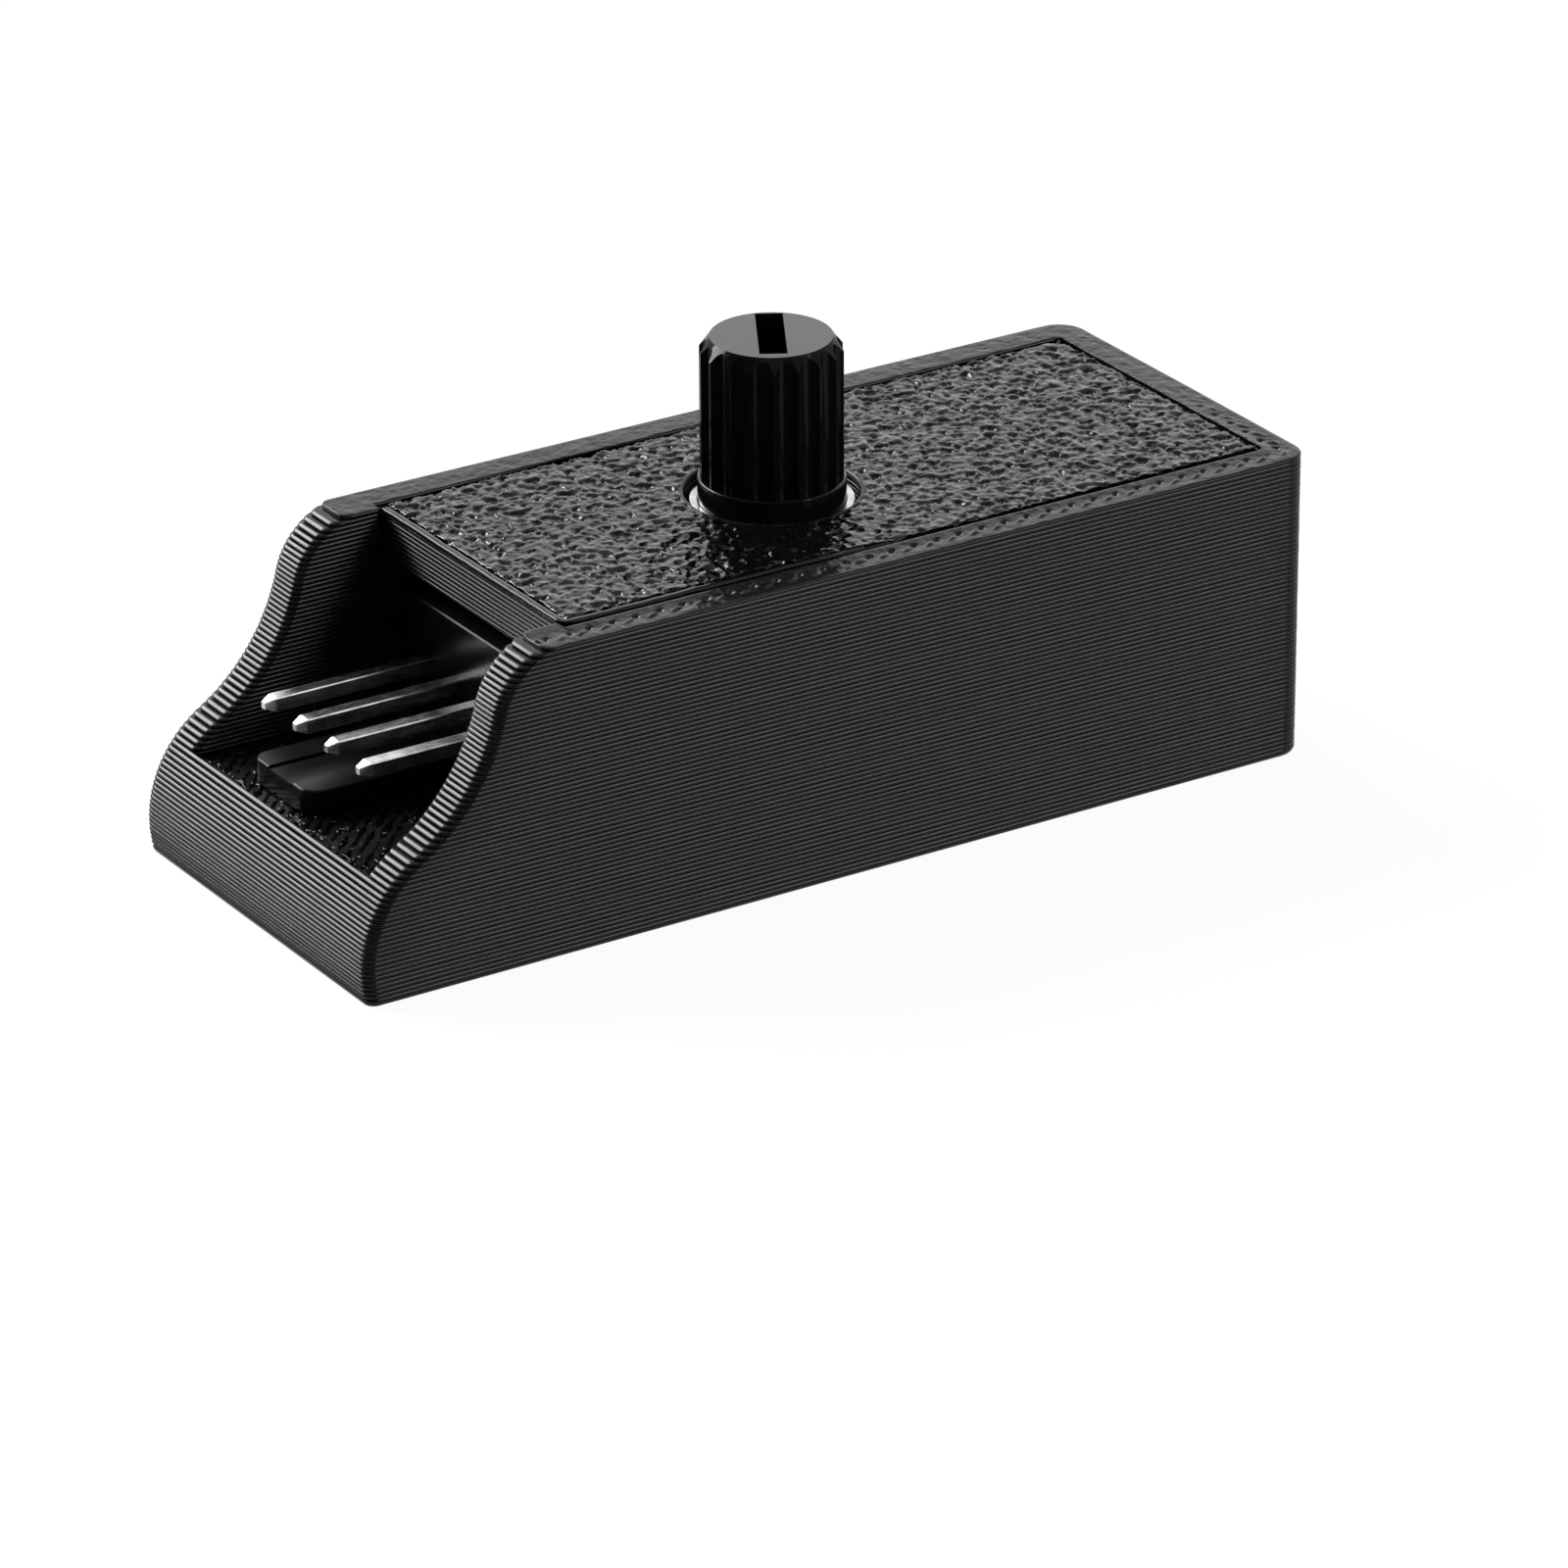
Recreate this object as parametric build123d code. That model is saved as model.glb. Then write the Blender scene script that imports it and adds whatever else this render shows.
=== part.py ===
from build123d import *
import math
import os

# Fan controller hub: a printed case with an S-curved nose, a flush lid, a splined dial shaft
# and a keyed four-pin header in the nose. Millimetres, +Z up, nose towards -X,
# origin at the middle of the underside.

# Case
case_length = 45.7
case_width = 18.1
case_height = 13.5
side_wall = 2.1
rear_wall = 1.95
floor_thickness = 1.6
nose_wall = 1.4
rear_corner_radius = 1.25
edge_radius = 0.5

# S-curve of the nose: a convex nose arc, a hollow waist arc and a convex crown arc, all tangent
nose_radius = 5.14
nose_centre_height = 1.34
waist_radius = 8.7
crown_radius = 3.29
crown_setback = 9.46
crown_trim = 0.03

# Lid
lid_thickness = 2.2
lid_setback = 10.41
lid_rebate = 0.55
lid_gap = 0.15
lid_corner_radius = 0.4
lid_hole_radius = 3.64

# Circuit board
board_thickness = 1.6
board_standoff = 1.4
board_gap = 0.2
board_ledge = 0.9
shelf_clearance = 0.1
lead_length = 1.1
lead_hole_radius = 0.55

# Output header
pin_pitch = 2.54
pin_count = 4
pin_size = 0.64
pin_height = 3.07
pin_tip_setback = 2.85
pin_tip_length = 0.45
pin_tip_size = 0.3
pin_bend_gap = 1.2
pin_bend_radius = 0.5
header_setback = 10.45
header_depth = 3.2
header_lid_gap = 0.85
header_chamfer = 0.2
header_top_chamfer = 0.06
key_offset = 1.45
key_width = 4.7
key_thickness = 1.07
key_length = 8.22
key_corner_radius = 0.6
key_near_radius = 0.8
key_edge_chamfer = 0.06
key_channel_width = 1.9
key_channel_depth = 0.1
key_groove_width = 0.1
key_groove_depth = 0.17

# Input socket
socket_lid_gap = 0.85
socket_end_wall = 0.25
socket_gap = 0.1
socket_hole = 1.5
socket_hole_chamfer = 0.25
window_margin = 0.2
contact_sheet = 0.25
contact_width = 1.0
contact_tail_gap = 1.0

# Potentiometer
dial_setback = 24.85
pot_lid_gap = 0.3
pot_wall = 0.5
pot_well_depth = 2.9
pot_terminal_block = 0.9
track_gap = 0.2
track_thickness = 0.6
track_hole_radius = 1.1
pilot_clearance = 0.1
terminal_pitch = 2.5
terminal_width = 0.8
terminal_sheet = 0.3
terminal_reach = 1.7
terminal_drop = 0.6
cover_sheet = 0.5
bushing_radius = 3.4
bushing_recess = 0.4
lug_width = 2.2
lug_slot_gap = 0.15
shaft_radius = 3.08
shaft_clearance = 0.03
shaft_shoulder_rise = 0.65
shaft_shoulder_round = 0.08
shaft_height = 6.77
rotor_gap = 0.3
rotor_thickness = 1.4
rotor_clearance = 0.1
spline_radius = 2.98
spline_count = 18
flute_radius = 0.5
flute_depth = 0.34
shaft_chamfer = 0.44
shaft_chamfer_rise = 0.58
slot_width = 1.15
slot_depth = 1.6
slot_near_end = 2.1
slot_far_end = 2.4
pointer_angle = 60.0
wiper_sheet = 0.2
wiper_ring_radius = 3.0
wiper_bore_radius = 1.6
wiper_arm_width = 0.8
wiper_clearance = 0.1

# Small parts on the board
chip_length = 3.0
chip_width = 3.0
chip_height = 0.85
chip_standoff = 0.1
chip_chamfer = 0.1
chip_gap = 0.6
chip_leads_per_side = 4
chip_lead_pitch = 0.65
chip_lead_width = 0.3
chip_lead_sheet = 0.15
chip_lead_reach = 0.95
regulator_length = 2.9
regulator_width = 1.5
regulator_height = 1.1
regulator_lead_pitch = 0.95
regulator_lead_width = 0.4
regulator_lead_reach = 0.6
regulator_lead_sheet = 0.2
can_radius = 1.5
can_lid_gap = 1.3
can_rim_chamfer = 0.15
can_groove_depth = 0.12
can_groove_height = 0.5
can_base_side = 3.3
can_base_height = 0.8
can_base_chamfer = 0.6
chip_part_length = 2.0
chip_part_width = 1.25
resistor_height = 0.5
capacitor_height = 0.9
diode_length = 1.7
diode_height = 0.95
part_gap = 0.6
part_strip_gap = 0.05
solder_radius = 0.9
solder_tip_radius = 0.6
solder_height = 0.8
solder_sides = 8
slack = 1.0

# Places worked out from the sizes above
nose_x = -case_length / 2
rear_x = case_length / 2
inner_rear_x = rear_x - rear_wall
inner_half = case_width / 2 - side_wall
lid_floor = case_height - lid_thickness
lid_front_x = nose_x + lid_setback
header_x = nose_x + header_setback
header_back_x = header_x + header_depth
board_bottom = floor_thickness + board_standoff
board_top = board_bottom + board_thickness
board_front_x = header_x + board_gap
board_half = inner_half - board_gap
board_rear_x = inner_rear_x - board_gap
lead_tip = board_bottom - lead_length
shelf_top = board_top - shelf_clearance
pin_z = board_top + pin_height
pin_drop_x = header_back_x + pin_bend_gap
header_top = lid_floor - header_lid_gap
socket_top = lid_floor - socket_lid_gap
dial_x = nose_x + dial_setback
pot_half = board_half - chip_part_width - 2 * part_strip_gap - cover_sheet
pot_well_radius = pot_half - pot_wall
cover_top = lid_floor - pot_lid_gap
pot_top = cover_top - cover_sheet
pot_well_floor = pot_top - pot_well_depth
track_top = pot_well_floor + track_thickness
terminal_x = dial_x - pot_half - terminal_reach
bushing_top = case_height - bushing_recess
shoulder_z = case_height + shaft_shoulder_rise
shaft_top = case_height + shaft_height
rotor_top = pot_top - rotor_clearance
rotor_bottom = rotor_top - rotor_thickness
socket_width = pin_count * pin_pitch + 2 * socket_end_wall
chip_x = dial_x + pot_half + chip_gap + chip_length / 2
chip_toe_y = chip_width / 2 + chip_lead_reach
contact_drop_x = chip_x + chip_length / 2 + chip_gap
socket_back_x = contact_drop_x + contact_tail_gap
socket_face_x = inner_rear_x - socket_gap
part_row_y = (pot_half + cover_sheet + board_half) / 2
side_part_y = (chip_toe_y + board_half) / 2
can_base_top = board_top + can_base_height
can_top = lid_floor - can_lid_gap
pin_rows = [(i - (pin_count - 1) / 2) * pin_pitch for i in range(pin_count)]


def block(x0, x1, y0, y1, z0, z1):
    return Pos(x0, y0, z0) * Box(x1 - x0, y1 - y0, z1 - z0, align=(Align.MIN, Align.MIN, Align.MIN))


def drum(x, y, z0, z1, radius):
    return Pos(x, y, z0) * Cylinder(radius, z1 - z0, align=(Align.CENTER, Align.CENTER, Align.MIN))


def bent_strip(points, y, width):
    """A strip of metal: an outline in the XZ plane, given thickness across Y."""
    outline = Polyline(*points, close=True)
    return Pos(0, y, 0) * extrude(Plane.XZ * make_face(outline), amount=width / 2, both=True)


def save(shape, node):
    export_step(shape, f"parts/{node}.step")


def side_profile():
    """The case seen from the side; the nose is three tangent arcs."""
    nose = Vector(nose_x + nose_radius, nose_centre_height)
    crown = Vector(nose_x + crown_setback, case_height + crown_trim - crown_radius)
    span = crown - nose
    to_nose = nose_radius + waist_radius
    to_crown = crown_radius + waist_radius
    along = (to_nose**2 - to_crown**2 + span.length**2) / (2 * span.length)
    away = math.sqrt(to_nose**2 - along**2)
    unit = span.normalized()
    waist = nose + unit * along + Vector(-unit.Y, unit.X) * away
    low_join = nose + (waist - nose).normalized() * nose_radius
    high_join = crown + (waist - crown).normalized() * crown_radius
    toe = Vector(nose.X - math.sqrt(nose_radius**2 - nose_centre_height**2), 0)
    nose_mid = nose + Vector(-nose_radius, 0)
    waist_mid = waist + ((low_join + high_join) * 0.5 - waist).normalized() * waist_radius
    crown_end = Vector(crown.X - math.sqrt(crown_radius**2 - (crown_radius - crown_trim) ** 2), case_height)
    crown_mid = crown + ((high_join + crown_end) * 0.5 - crown).normalized() * crown_radius
    outline = Curve() + [
        ThreePointArc(toe, nose_mid, low_join),
        ThreePointArc(low_join, waist_mid, high_join),
        ThreePointArc(high_join, crown_mid, crown_end),
        Polyline(crown_end, (rear_x, case_height), (rear_x, 0), toe),
    ]
    return make_face(outline)


def enclosure_body():
    shell = extrude(Plane.XZ * side_profile(), amount=case_width / 2, both=True)
    rear_corners = shell.edges().filter_by(Axis.Z).group_by(Axis.X)[-1]
    shell = fillet(rear_corners, rear_corner_radius)
    nose_edges = shell.edges().filter_by(GeomType.CIRCLE).filter_by(
        lambda e: abs(e.center().Y) > case_width / 2 - side_wall / 2 and e.center().X < lid_front_x
    )
    shell = fillet(nose_edges, edge_radius)
    over = case_height + slack
    inside = block(nose_x + nose_wall, inner_rear_x, -inner_half, inner_half, shelf_top, over)
    board_well = block(header_x, inner_rear_x, -inner_half, inner_half, board_bottom, over)
    ledge_half = board_half - board_ledge
    under_board = block(board_front_x + board_ledge, board_rear_x - board_ledge, -ledge_half, ledge_half,
                        floor_thickness, over)
    rim_half = inner_half + lid_rebate
    lid_seat = block(lid_front_x - lid_gap, inner_rear_x + lid_rebate, -rim_half, rim_half, lid_floor, over)
    window_half = socket_width / 2 + window_margin
    window = block(inner_rear_x - slack, rear_x + slack, -window_half, window_half,
                   board_top - window_margin, socket_top + window_margin)
    return shell - inside - board_well - under_board - lid_seat - window


def lid():
    half = inner_half + lid_rebate - lid_gap
    plate = block(lid_front_x, inner_rear_x + lid_rebate - lid_gap, -half, half, lid_floor, case_height)
    plate = fillet(plate.edges().filter_by(Axis.Z), lid_corner_radius)
    return plate - drum(dial_x, 0, lid_floor - slack, case_height + slack, lid_hole_radius)


def output_pin(y):
    half = pin_size / 2
    shank_x = nose_x + pin_tip_setback + pin_tip_length
    leg = pin_drop_x + half
    pin = bent_strip(
        [
            (shank_x, pin_z - half),
            (pin_drop_x - half, pin_z - half),
            (pin_drop_x - half, lead_tip),
            (leg, lead_tip),
            (leg, pin_z + half),
            (shank_x, pin_z + half),
        ],
        y,
        pin_size,
    )
    elbow = pin.edges().filter_by(Axis.Y).group_by(Axis.X)[-1].sort_by(Axis.Z)[-1]
    pin = fillet(elbow, pin_bend_radius)
    tip_plane = Plane((shank_x, y, pin_z), x_dir=(0, 1, 0), z_dir=(-1, 0, 0))
    point = loft([tip_plane * Rectangle(pin_size, pin_size),
                  tip_plane.offset(pin_tip_length) * Rectangle(pin_tip_size, pin_tip_size)])
    return pin + point


def output_header(pins):
    half = pin_count * pin_pitch / 2
    housing = block(header_x, header_back_x, -half, half, board_top, header_top)
    housing = chamfer(housing.edges().filter_by(Axis.X), header_chamfer)
    front_edge = housing.edges().filter_by(Axis.Y).group_by(Axis.Z)[-1].sort_by(Axis.X)[0]
    housing = chamfer(front_edge, header_top_chamfer)
    key_top = board_top + key_thickness
    key = block(header_x - key_length, header_x, key_offset - key_width / 2, key_offset + key_width / 2,
                board_top, key_top)
    near = key.edges().filter_by(Axis.Z).group_by(Axis.X)[0].sort_by(Axis.Y)[0]
    key = fillet(near, key_near_radius)
    far = key.edges().filter_by(Axis.Z).group_by(Axis.X)[0].sort_by(Axis.Y)[-1]
    key = fillet(far, key_corner_radius)
    top_edges = key.faces().sort_by(Axis.Z)[-1].edges()
    free_edges = top_edges.filter_by(lambda edge: edge.center().X < header_x - slack)
    key = chamfer(free_edges, key_edge_chamfer)
    channel = block(header_x - key_length - slack, header_x, key_offset - key_channel_width / 2,
                    key_offset + key_channel_width / 2, key_top - key_channel_depth, key_top + slack)
    key = key - channel
    for side in (-1, 1):
        groove_y = key_offset + side * key_channel_width / 2
        key = key - block(header_x - key_length - slack, header_x, groove_y - key_groove_width / 2,
                          groove_y + key_groove_width / 2, key_top - key_groove_depth, key_top + slack)
    header = housing + key
    for pin in pins:
        header = header - pin
    return header


def input_contact(y):
    half = socket_hole / 2
    low = pin_z - half
    high = pin_z + half
    tail = contact_drop_x + contact_sheet
    nib_x = socket_face_x - socket_hole
    return bent_strip(
        [
            (contact_drop_x, lead_tip),
            (tail, lead_tip),
            (tail, low),
            (nib_x, low),
            (nib_x, low + contact_sheet),
            (tail, low + contact_sheet),
            (tail, high - contact_sheet),
            (nib_x, high - contact_sheet),
            (nib_x, high),
            (contact_drop_x, high),
        ],
        y,
        contact_width,
    )


def input_socket():
    half = socket_width / 2
    housing = block(socket_back_x, socket_face_x, -half, half, board_top, socket_top)
    for y in pin_rows:
        tunnel = block(socket_back_x - slack, socket_face_x + slack, y - socket_hole / 2, y + socket_hole / 2,
                       pin_z - socket_hole / 2, pin_z + socket_hole / 2)
        housing = housing - tunnel
    mouths = housing.faces().sort_by(Axis.X)[-1].inner_wires()
    return chamfer([edge for wire in mouths for edge in wire.edges()], socket_hole_chamfer)


def pot_terminal(y):
    top = pot_well_floor - terminal_drop
    root = dial_x - pot_half + pot_terminal_block
    return bent_strip(
        [
            (terminal_x, lead_tip),
            (terminal_x + terminal_sheet, lead_tip),
            (terminal_x + terminal_sheet, top - terminal_sheet),
            (root, top - terminal_sheet),
            (root, top),
            (terminal_x, top),
        ],
        y,
        terminal_width,
    )


def pot_case(terminals):
    cup = block(dial_x - pot_half, dial_x + pot_half, -pot_half, pot_half, board_top, pot_top)
    root_half = terminal_pitch + terminal_width
    root_x = dial_x - pot_half
    root = block(root_x - pot_terminal_block, root_x, -root_half, root_half, board_top, pot_well_floor)
    cup = cup + root - drum(dial_x, 0, pot_well_floor, pot_top + slack, pot_well_radius)
    for terminal in terminals:
        cup = cup - terminal
    return cup


def pot_cover():
    wide = pot_half + cover_sheet
    plate = block(dial_x - pot_half, dial_x + pot_half, -pot_half, pot_half, pot_top, cover_top)
    plate = plate + drum(dial_x, 0, pot_top, bushing_top, bushing_radius)
    for side in (-1, 1):
        inner, outer = sorted((side * pot_half, side * wide))
        plate = plate + block(dial_x - lug_width / 2, dial_x + lug_width / 2, inner, outer,
                              lead_tip, cover_top)
    return plate - drum(dial_x, 0, pot_top - slack, bushing_top + slack, shaft_radius + shaft_clearance)


def pot_track():
    wafer = drum(dial_x, 0, pot_well_floor, track_top, pot_well_radius - track_gap)
    return wafer - drum(dial_x, 0, pot_well_floor - slack, track_top + slack, track_hole_radius)


def pot_shaft():
    shaft = drum(dial_x, 0, rotor_bottom, rotor_top, pot_well_radius - rotor_gap)
    collar = drum(dial_x, 0, rotor_top, shoulder_z, shaft_radius)
    shaft = shaft + fillet(collar.edges().sort_by(Axis.Z)[-1], shaft_shoulder_round)
    pilot_radius = track_hole_radius - pilot_clearance
    shaft = shaft + drum(dial_x, 0, pot_well_floor + pilot_clearance, rotor_bottom, pilot_radius)
    tip_z = shaft_top - shaft_chamfer_rise
    splined = drum(dial_x, 0, shoulder_z, tip_z, spline_radius)
    splined = splined + Pos(dial_x, 0, tip_z) * Cone(
        spline_radius, spline_radius - shaft_chamfer, shaft_chamfer_rise,
        align=(Align.CENTER, Align.CENTER, Align.MIN))
    flute_centre = spline_radius - flute_depth + flute_radius
    flute = drum(flute_centre, 0, shoulder_z, shaft_top + slack, flute_radius)
    flutes = [Pos(dial_x, 0, 0) * Rot(0, 0, pointer_angle + (i + 0.5) * 360 / spline_count) * flute
              for i in range(spline_count)]
    slot = block(-slot_near_end, slot_far_end, -slot_width / 2, slot_width / 2,
                 shaft_top - slot_depth, shaft_top + slack)
    slot = Pos(dial_x, 0, 0) * Rot(0, 0, pointer_angle) * slot
    return shaft + (splined - flutes - slot)


def pot_wiper():
    top = rotor_bottom
    ring = drum(0, 0, top - wiper_sheet, top, wiper_ring_radius)
    ring = ring - drum(0, 0, top - slack, top + slack, wiper_bore_radius)
    arm_x = (wiper_ring_radius + wiper_bore_radius) / 2
    brush = block(arm_x - wiper_sheet, arm_x + wiper_sheet, -wiper_arm_width / 2, wiper_arm_width / 2,
                  track_top + wiper_clearance, top - wiper_sheet)
    return Pos(dial_x, 0, 0) * Rot(0, 0, pointer_angle) * (ring + brush + Rot(0, 0, 180) * brush)


def timer_chip():
    low = board_top + chip_standoff
    body = block(chip_x - chip_length / 2, chip_x + chip_length / 2, -chip_width / 2, chip_width / 2,
                 low, low + chip_height)
    return chamfer(body.faces().sort_by(Axis.Z)[-1].edges(), chip_chamfer)


def timer_chip_leads():
    root_z = board_top + chip_standoff + chip_height / 2
    knee = (chip_width / 2 + chip_toe_y) / 2
    outline = Polyline(
        (chip_width / 2, root_z),
        (knee, root_z),
        (knee, board_top + chip_lead_sheet),
        (chip_toe_y, board_top + chip_lead_sheet),
        (chip_toe_y, board_top),
        (knee - chip_lead_sheet, board_top),
        (knee - chip_lead_sheet, root_z - chip_lead_sheet),
        (chip_width / 2, root_z - chip_lead_sheet),
        close=True,
    )
    lead = extrude(Plane.YZ * make_face(outline), amount=chip_lead_width / 2, both=True)
    leads = []
    for turn in (0, 180):
        for i in range(chip_leads_per_side):
            x = (i - (chip_leads_per_side - 1) / 2) * chip_lead_pitch
            leads.append(Pos(chip_x, 0, 0) * Rot(0, 0, turn) * Pos(x, 0, 0) * lead)
    return Compound(leads)


def regulator():
    half = regulator_length / 2
    body = block(-half, half, -regulator_width / 2, regulator_width / 2,
                 board_top, board_top + regulator_height)
    body = chamfer(body.faces().sort_by(Axis.Z)[-1].edges(), chip_chamfer)
    reach = regulator_width / 2 + regulator_lead_reach
    leads = []
    for i in (-1, 0, 1):
        x = i * regulator_lead_pitch
        leads.append(block(x - regulator_lead_width / 2, x + regulator_lead_width / 2,
                           -reach, -regulator_width / 2, board_top, board_top + regulator_lead_sheet))
    place = Pos(chip_x, -side_part_y, 0)
    return place * body, Compound([place * lead for lead in leads])


def supply_capacitor():
    half = can_base_side / 2
    base = block(chip_x - half, chip_x + half, side_part_y - half, side_part_y + half,
                 board_top, can_base_top)
    base = chamfer(base.edges().filter_by(Axis.Z).group_by(Axis.X)[-1], can_base_chamfer)
    groove_low = can_base_top + can_groove_height
    groove_high = groove_low + can_groove_height
    can = drum(chip_x, side_part_y, can_base_top, can_top, can_radius)
    can = chamfer(can.edges().sort_by(Axis.Z)[-1], can_rim_chamfer)
    ring = drum(chip_x, side_part_y, groove_low, groove_high, can_radius + slack)
    ring = ring - drum(chip_x, side_part_y, groove_low, groove_high, can_radius - can_groove_depth)
    return can - ring, base


def chip_part(x, y, length, height):
    return block(x - length / 2, x + length / 2, y - chip_part_width / 2, y + chip_part_width / 2,
                 board_top, board_top + height)


def row_places():
    """Places of the small parts that stand in a row on each side of the potentiometer."""
    beside_lug = lug_width / 2 + part_gap + chip_part_length / 2
    step = chip_part_length + part_gap
    return [dial_x - beside_lug - step, dial_x - beside_lug, dial_x + beside_lug]


def diode():
    body = chip_part(row_places()[-1], part_row_y, diode_length, diode_height)
    return chamfer(body.faces().sort_by(Axis.Z)[-1].edges(), chip_chamfer)


def circuit_board(leads, lugs):
    board = block(board_front_x, board_rear_x, -board_half, board_half, board_bottom, board_top)
    for x, y in leads:
        board = board - drum(x, y, board_bottom - slack, board_top + slack, lead_hole_radius)
    for y in lugs:
        wide = lug_width / 2 + lug_slot_gap
        thick = cover_sheet / 2 + lug_slot_gap
        board = board - block(dial_x - wide, dial_x + wide, y - thick, y + thick,
                              board_bottom - slack, board_top + slack)
    return board


def solder_joints(leads, lugs, metal):
    joints = []
    tip_plane = Plane.XY.offset(board_bottom - solder_height)
    cone = loft([tip_plane * RegularPolygon(solder_tip_radius, solder_sides),
                 Plane.XY.offset(board_bottom) * RegularPolygon(solder_radius, solder_sides)])
    for (x, y), lead in zip(leads, metal):
        joints.append(Pos(x, y, 0) * cone - lead)
    for y in lugs:
        wide = lug_width / 2 + lug_slot_gap
        thick = cover_sheet / 2 + lug_slot_gap
        pad = block(dial_x - wide, dial_x + wide, y - thick, y + thick,
                    board_bottom - solder_height, board_bottom)
        joints.append(pad - metal[-1])
    return Compound([solid for joint in joints for solid in joint.solids()])


os.makedirs("parts", exist_ok=True)

pins = [output_pin(y) for y in pin_rows]
contacts = [input_contact(y) for y in pin_rows]
terminal_rows = [i * terminal_pitch for i in (-1, 0, 1)]
terminals = [pot_terminal(y) for y in terminal_rows]
cover = pot_cover()

lead_places = [(pin_drop_x, y) for y in pin_rows]
lead_places += [(contact_drop_x + contact_sheet / 2, y) for y in pin_rows]
lead_places += [(terminal_x + terminal_sheet / 2, y) for y in terminal_rows]
lug_places = [side * (pot_half + cover_sheet / 2) for side in (-1, 1)]

save(enclosure_body(), "enclosure_body")
save(lid(), "lid")
save(circuit_board(lead_places, lug_places), "circuit_board")
save(output_header(pins), "output_header")
save(input_socket(), "input_socket")
for number, (pin, contact) in enumerate(zip(pins, contacts), start=1):
    save(pin, f"output_pin_{number}")
    save(contact, f"input_contact_{number}")
for number, terminal in enumerate(terminals, start=1):
    save(terminal, f"pot_terminal_{number}")
save(pot_case(terminals), "pot_case")
save(cover, "pot_cover")
save(pot_track(), "pot_track")
save(pot_shaft(), "pot_shaft")
save(pot_wiper(), "pot_wiper")
save(timer_chip(), "timer_chip")
save(timer_chip_leads(), "timer_chip_leads")
regulator_body, regulator_legs = regulator()
save(regulator_body, "regulator")
save(regulator_legs, "regulator_leads")
can, can_base = supply_capacitor()
save(can, "supply_capacitor_can")
save(can_base, "supply_capacitor_base")
resistors = [chip_part(x, -part_row_y, chip_part_length, resistor_height) for x in row_places()]
save(Compound(resistors), "resistors")
capacitors = [chip_part(x, part_row_y, chip_part_length, capacitor_height) for x in row_places()[:-1]]
save(Compound(capacitors), "ceramic_capacitors")
save(diode(), "diode")
save(solder_joints(lead_places, lug_places, pins + contacts + terminals + [cover]), "solder_joints")
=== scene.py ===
import math
import random

import bmesh
import bpy
from mathutils import Matrix, Vector


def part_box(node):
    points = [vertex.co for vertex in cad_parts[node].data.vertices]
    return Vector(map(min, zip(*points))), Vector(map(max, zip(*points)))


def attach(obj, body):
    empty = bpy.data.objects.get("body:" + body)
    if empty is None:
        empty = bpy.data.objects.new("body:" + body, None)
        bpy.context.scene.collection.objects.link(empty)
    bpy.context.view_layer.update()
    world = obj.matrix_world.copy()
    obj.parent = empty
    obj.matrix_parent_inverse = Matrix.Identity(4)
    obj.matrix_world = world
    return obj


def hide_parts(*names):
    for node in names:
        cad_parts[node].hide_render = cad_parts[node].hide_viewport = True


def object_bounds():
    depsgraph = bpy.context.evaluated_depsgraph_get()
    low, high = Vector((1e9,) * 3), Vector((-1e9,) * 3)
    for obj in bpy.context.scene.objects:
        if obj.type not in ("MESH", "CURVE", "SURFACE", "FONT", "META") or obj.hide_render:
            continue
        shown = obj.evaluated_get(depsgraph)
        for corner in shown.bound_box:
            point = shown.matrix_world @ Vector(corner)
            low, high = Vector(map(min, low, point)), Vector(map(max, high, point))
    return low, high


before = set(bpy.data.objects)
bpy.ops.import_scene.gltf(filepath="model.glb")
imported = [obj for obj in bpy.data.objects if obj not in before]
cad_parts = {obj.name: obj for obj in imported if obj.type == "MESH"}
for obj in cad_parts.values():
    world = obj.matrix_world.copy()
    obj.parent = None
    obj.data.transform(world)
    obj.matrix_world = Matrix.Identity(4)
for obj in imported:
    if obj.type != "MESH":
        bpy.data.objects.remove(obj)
cadLow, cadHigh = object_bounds()
scene = bpy.context.scene
scene.view_settings.view_transform = "Standard"
mm = 0.001
tiny = 0.001  # millimetres, for comparing places
print("frame loaded:", len(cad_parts), "nodes")


# small helpers for node trees
def put(tree, kind, inputs=None, **settings):
    node = tree.nodes.new(kind)
    for key, value in settings.items():
        setattr(node, key, value)
    for key, value in (inputs or {}).items():
        if isinstance(value, bpy.types.NodeSocket):
            tree.links.new(value, node.inputs[key])
        else:
            node.inputs[key].default_value = value
    return node


def made(tree, kind, inputs=None, **settings):
    return put(tree, kind, inputs, **settings).outputs[0]


def maths(tree, operation, *values):
    return made(tree, "ShaderNodeMath", dict(enumerate(values)), operation=operation)


def plus(tree, first, second):
    return maths(tree, "ADD", first, second)


def minus(tree, first, second):
    return maths(tree, "SUBTRACT", first, second)


def times(tree, first, second):
    return maths(tree, "MULTIPLY", first, second)


def vectors(tree, operation, first, second):
    return made(tree, "ShaderNodeVectorMath", {0: first, 1: second}, operation=operation)


def scaled(tree, vector, factor):
    return made(tree, "ShaderNodeVectorMath", {0: vector, "Scale": factor}, operation="SCALE")


def vector(tree, x=0.0, y=0.0, z=0.0):
    return made(tree, "ShaderNodeCombineXYZ", {"X": x, "Y": y, "Z": z})


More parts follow.
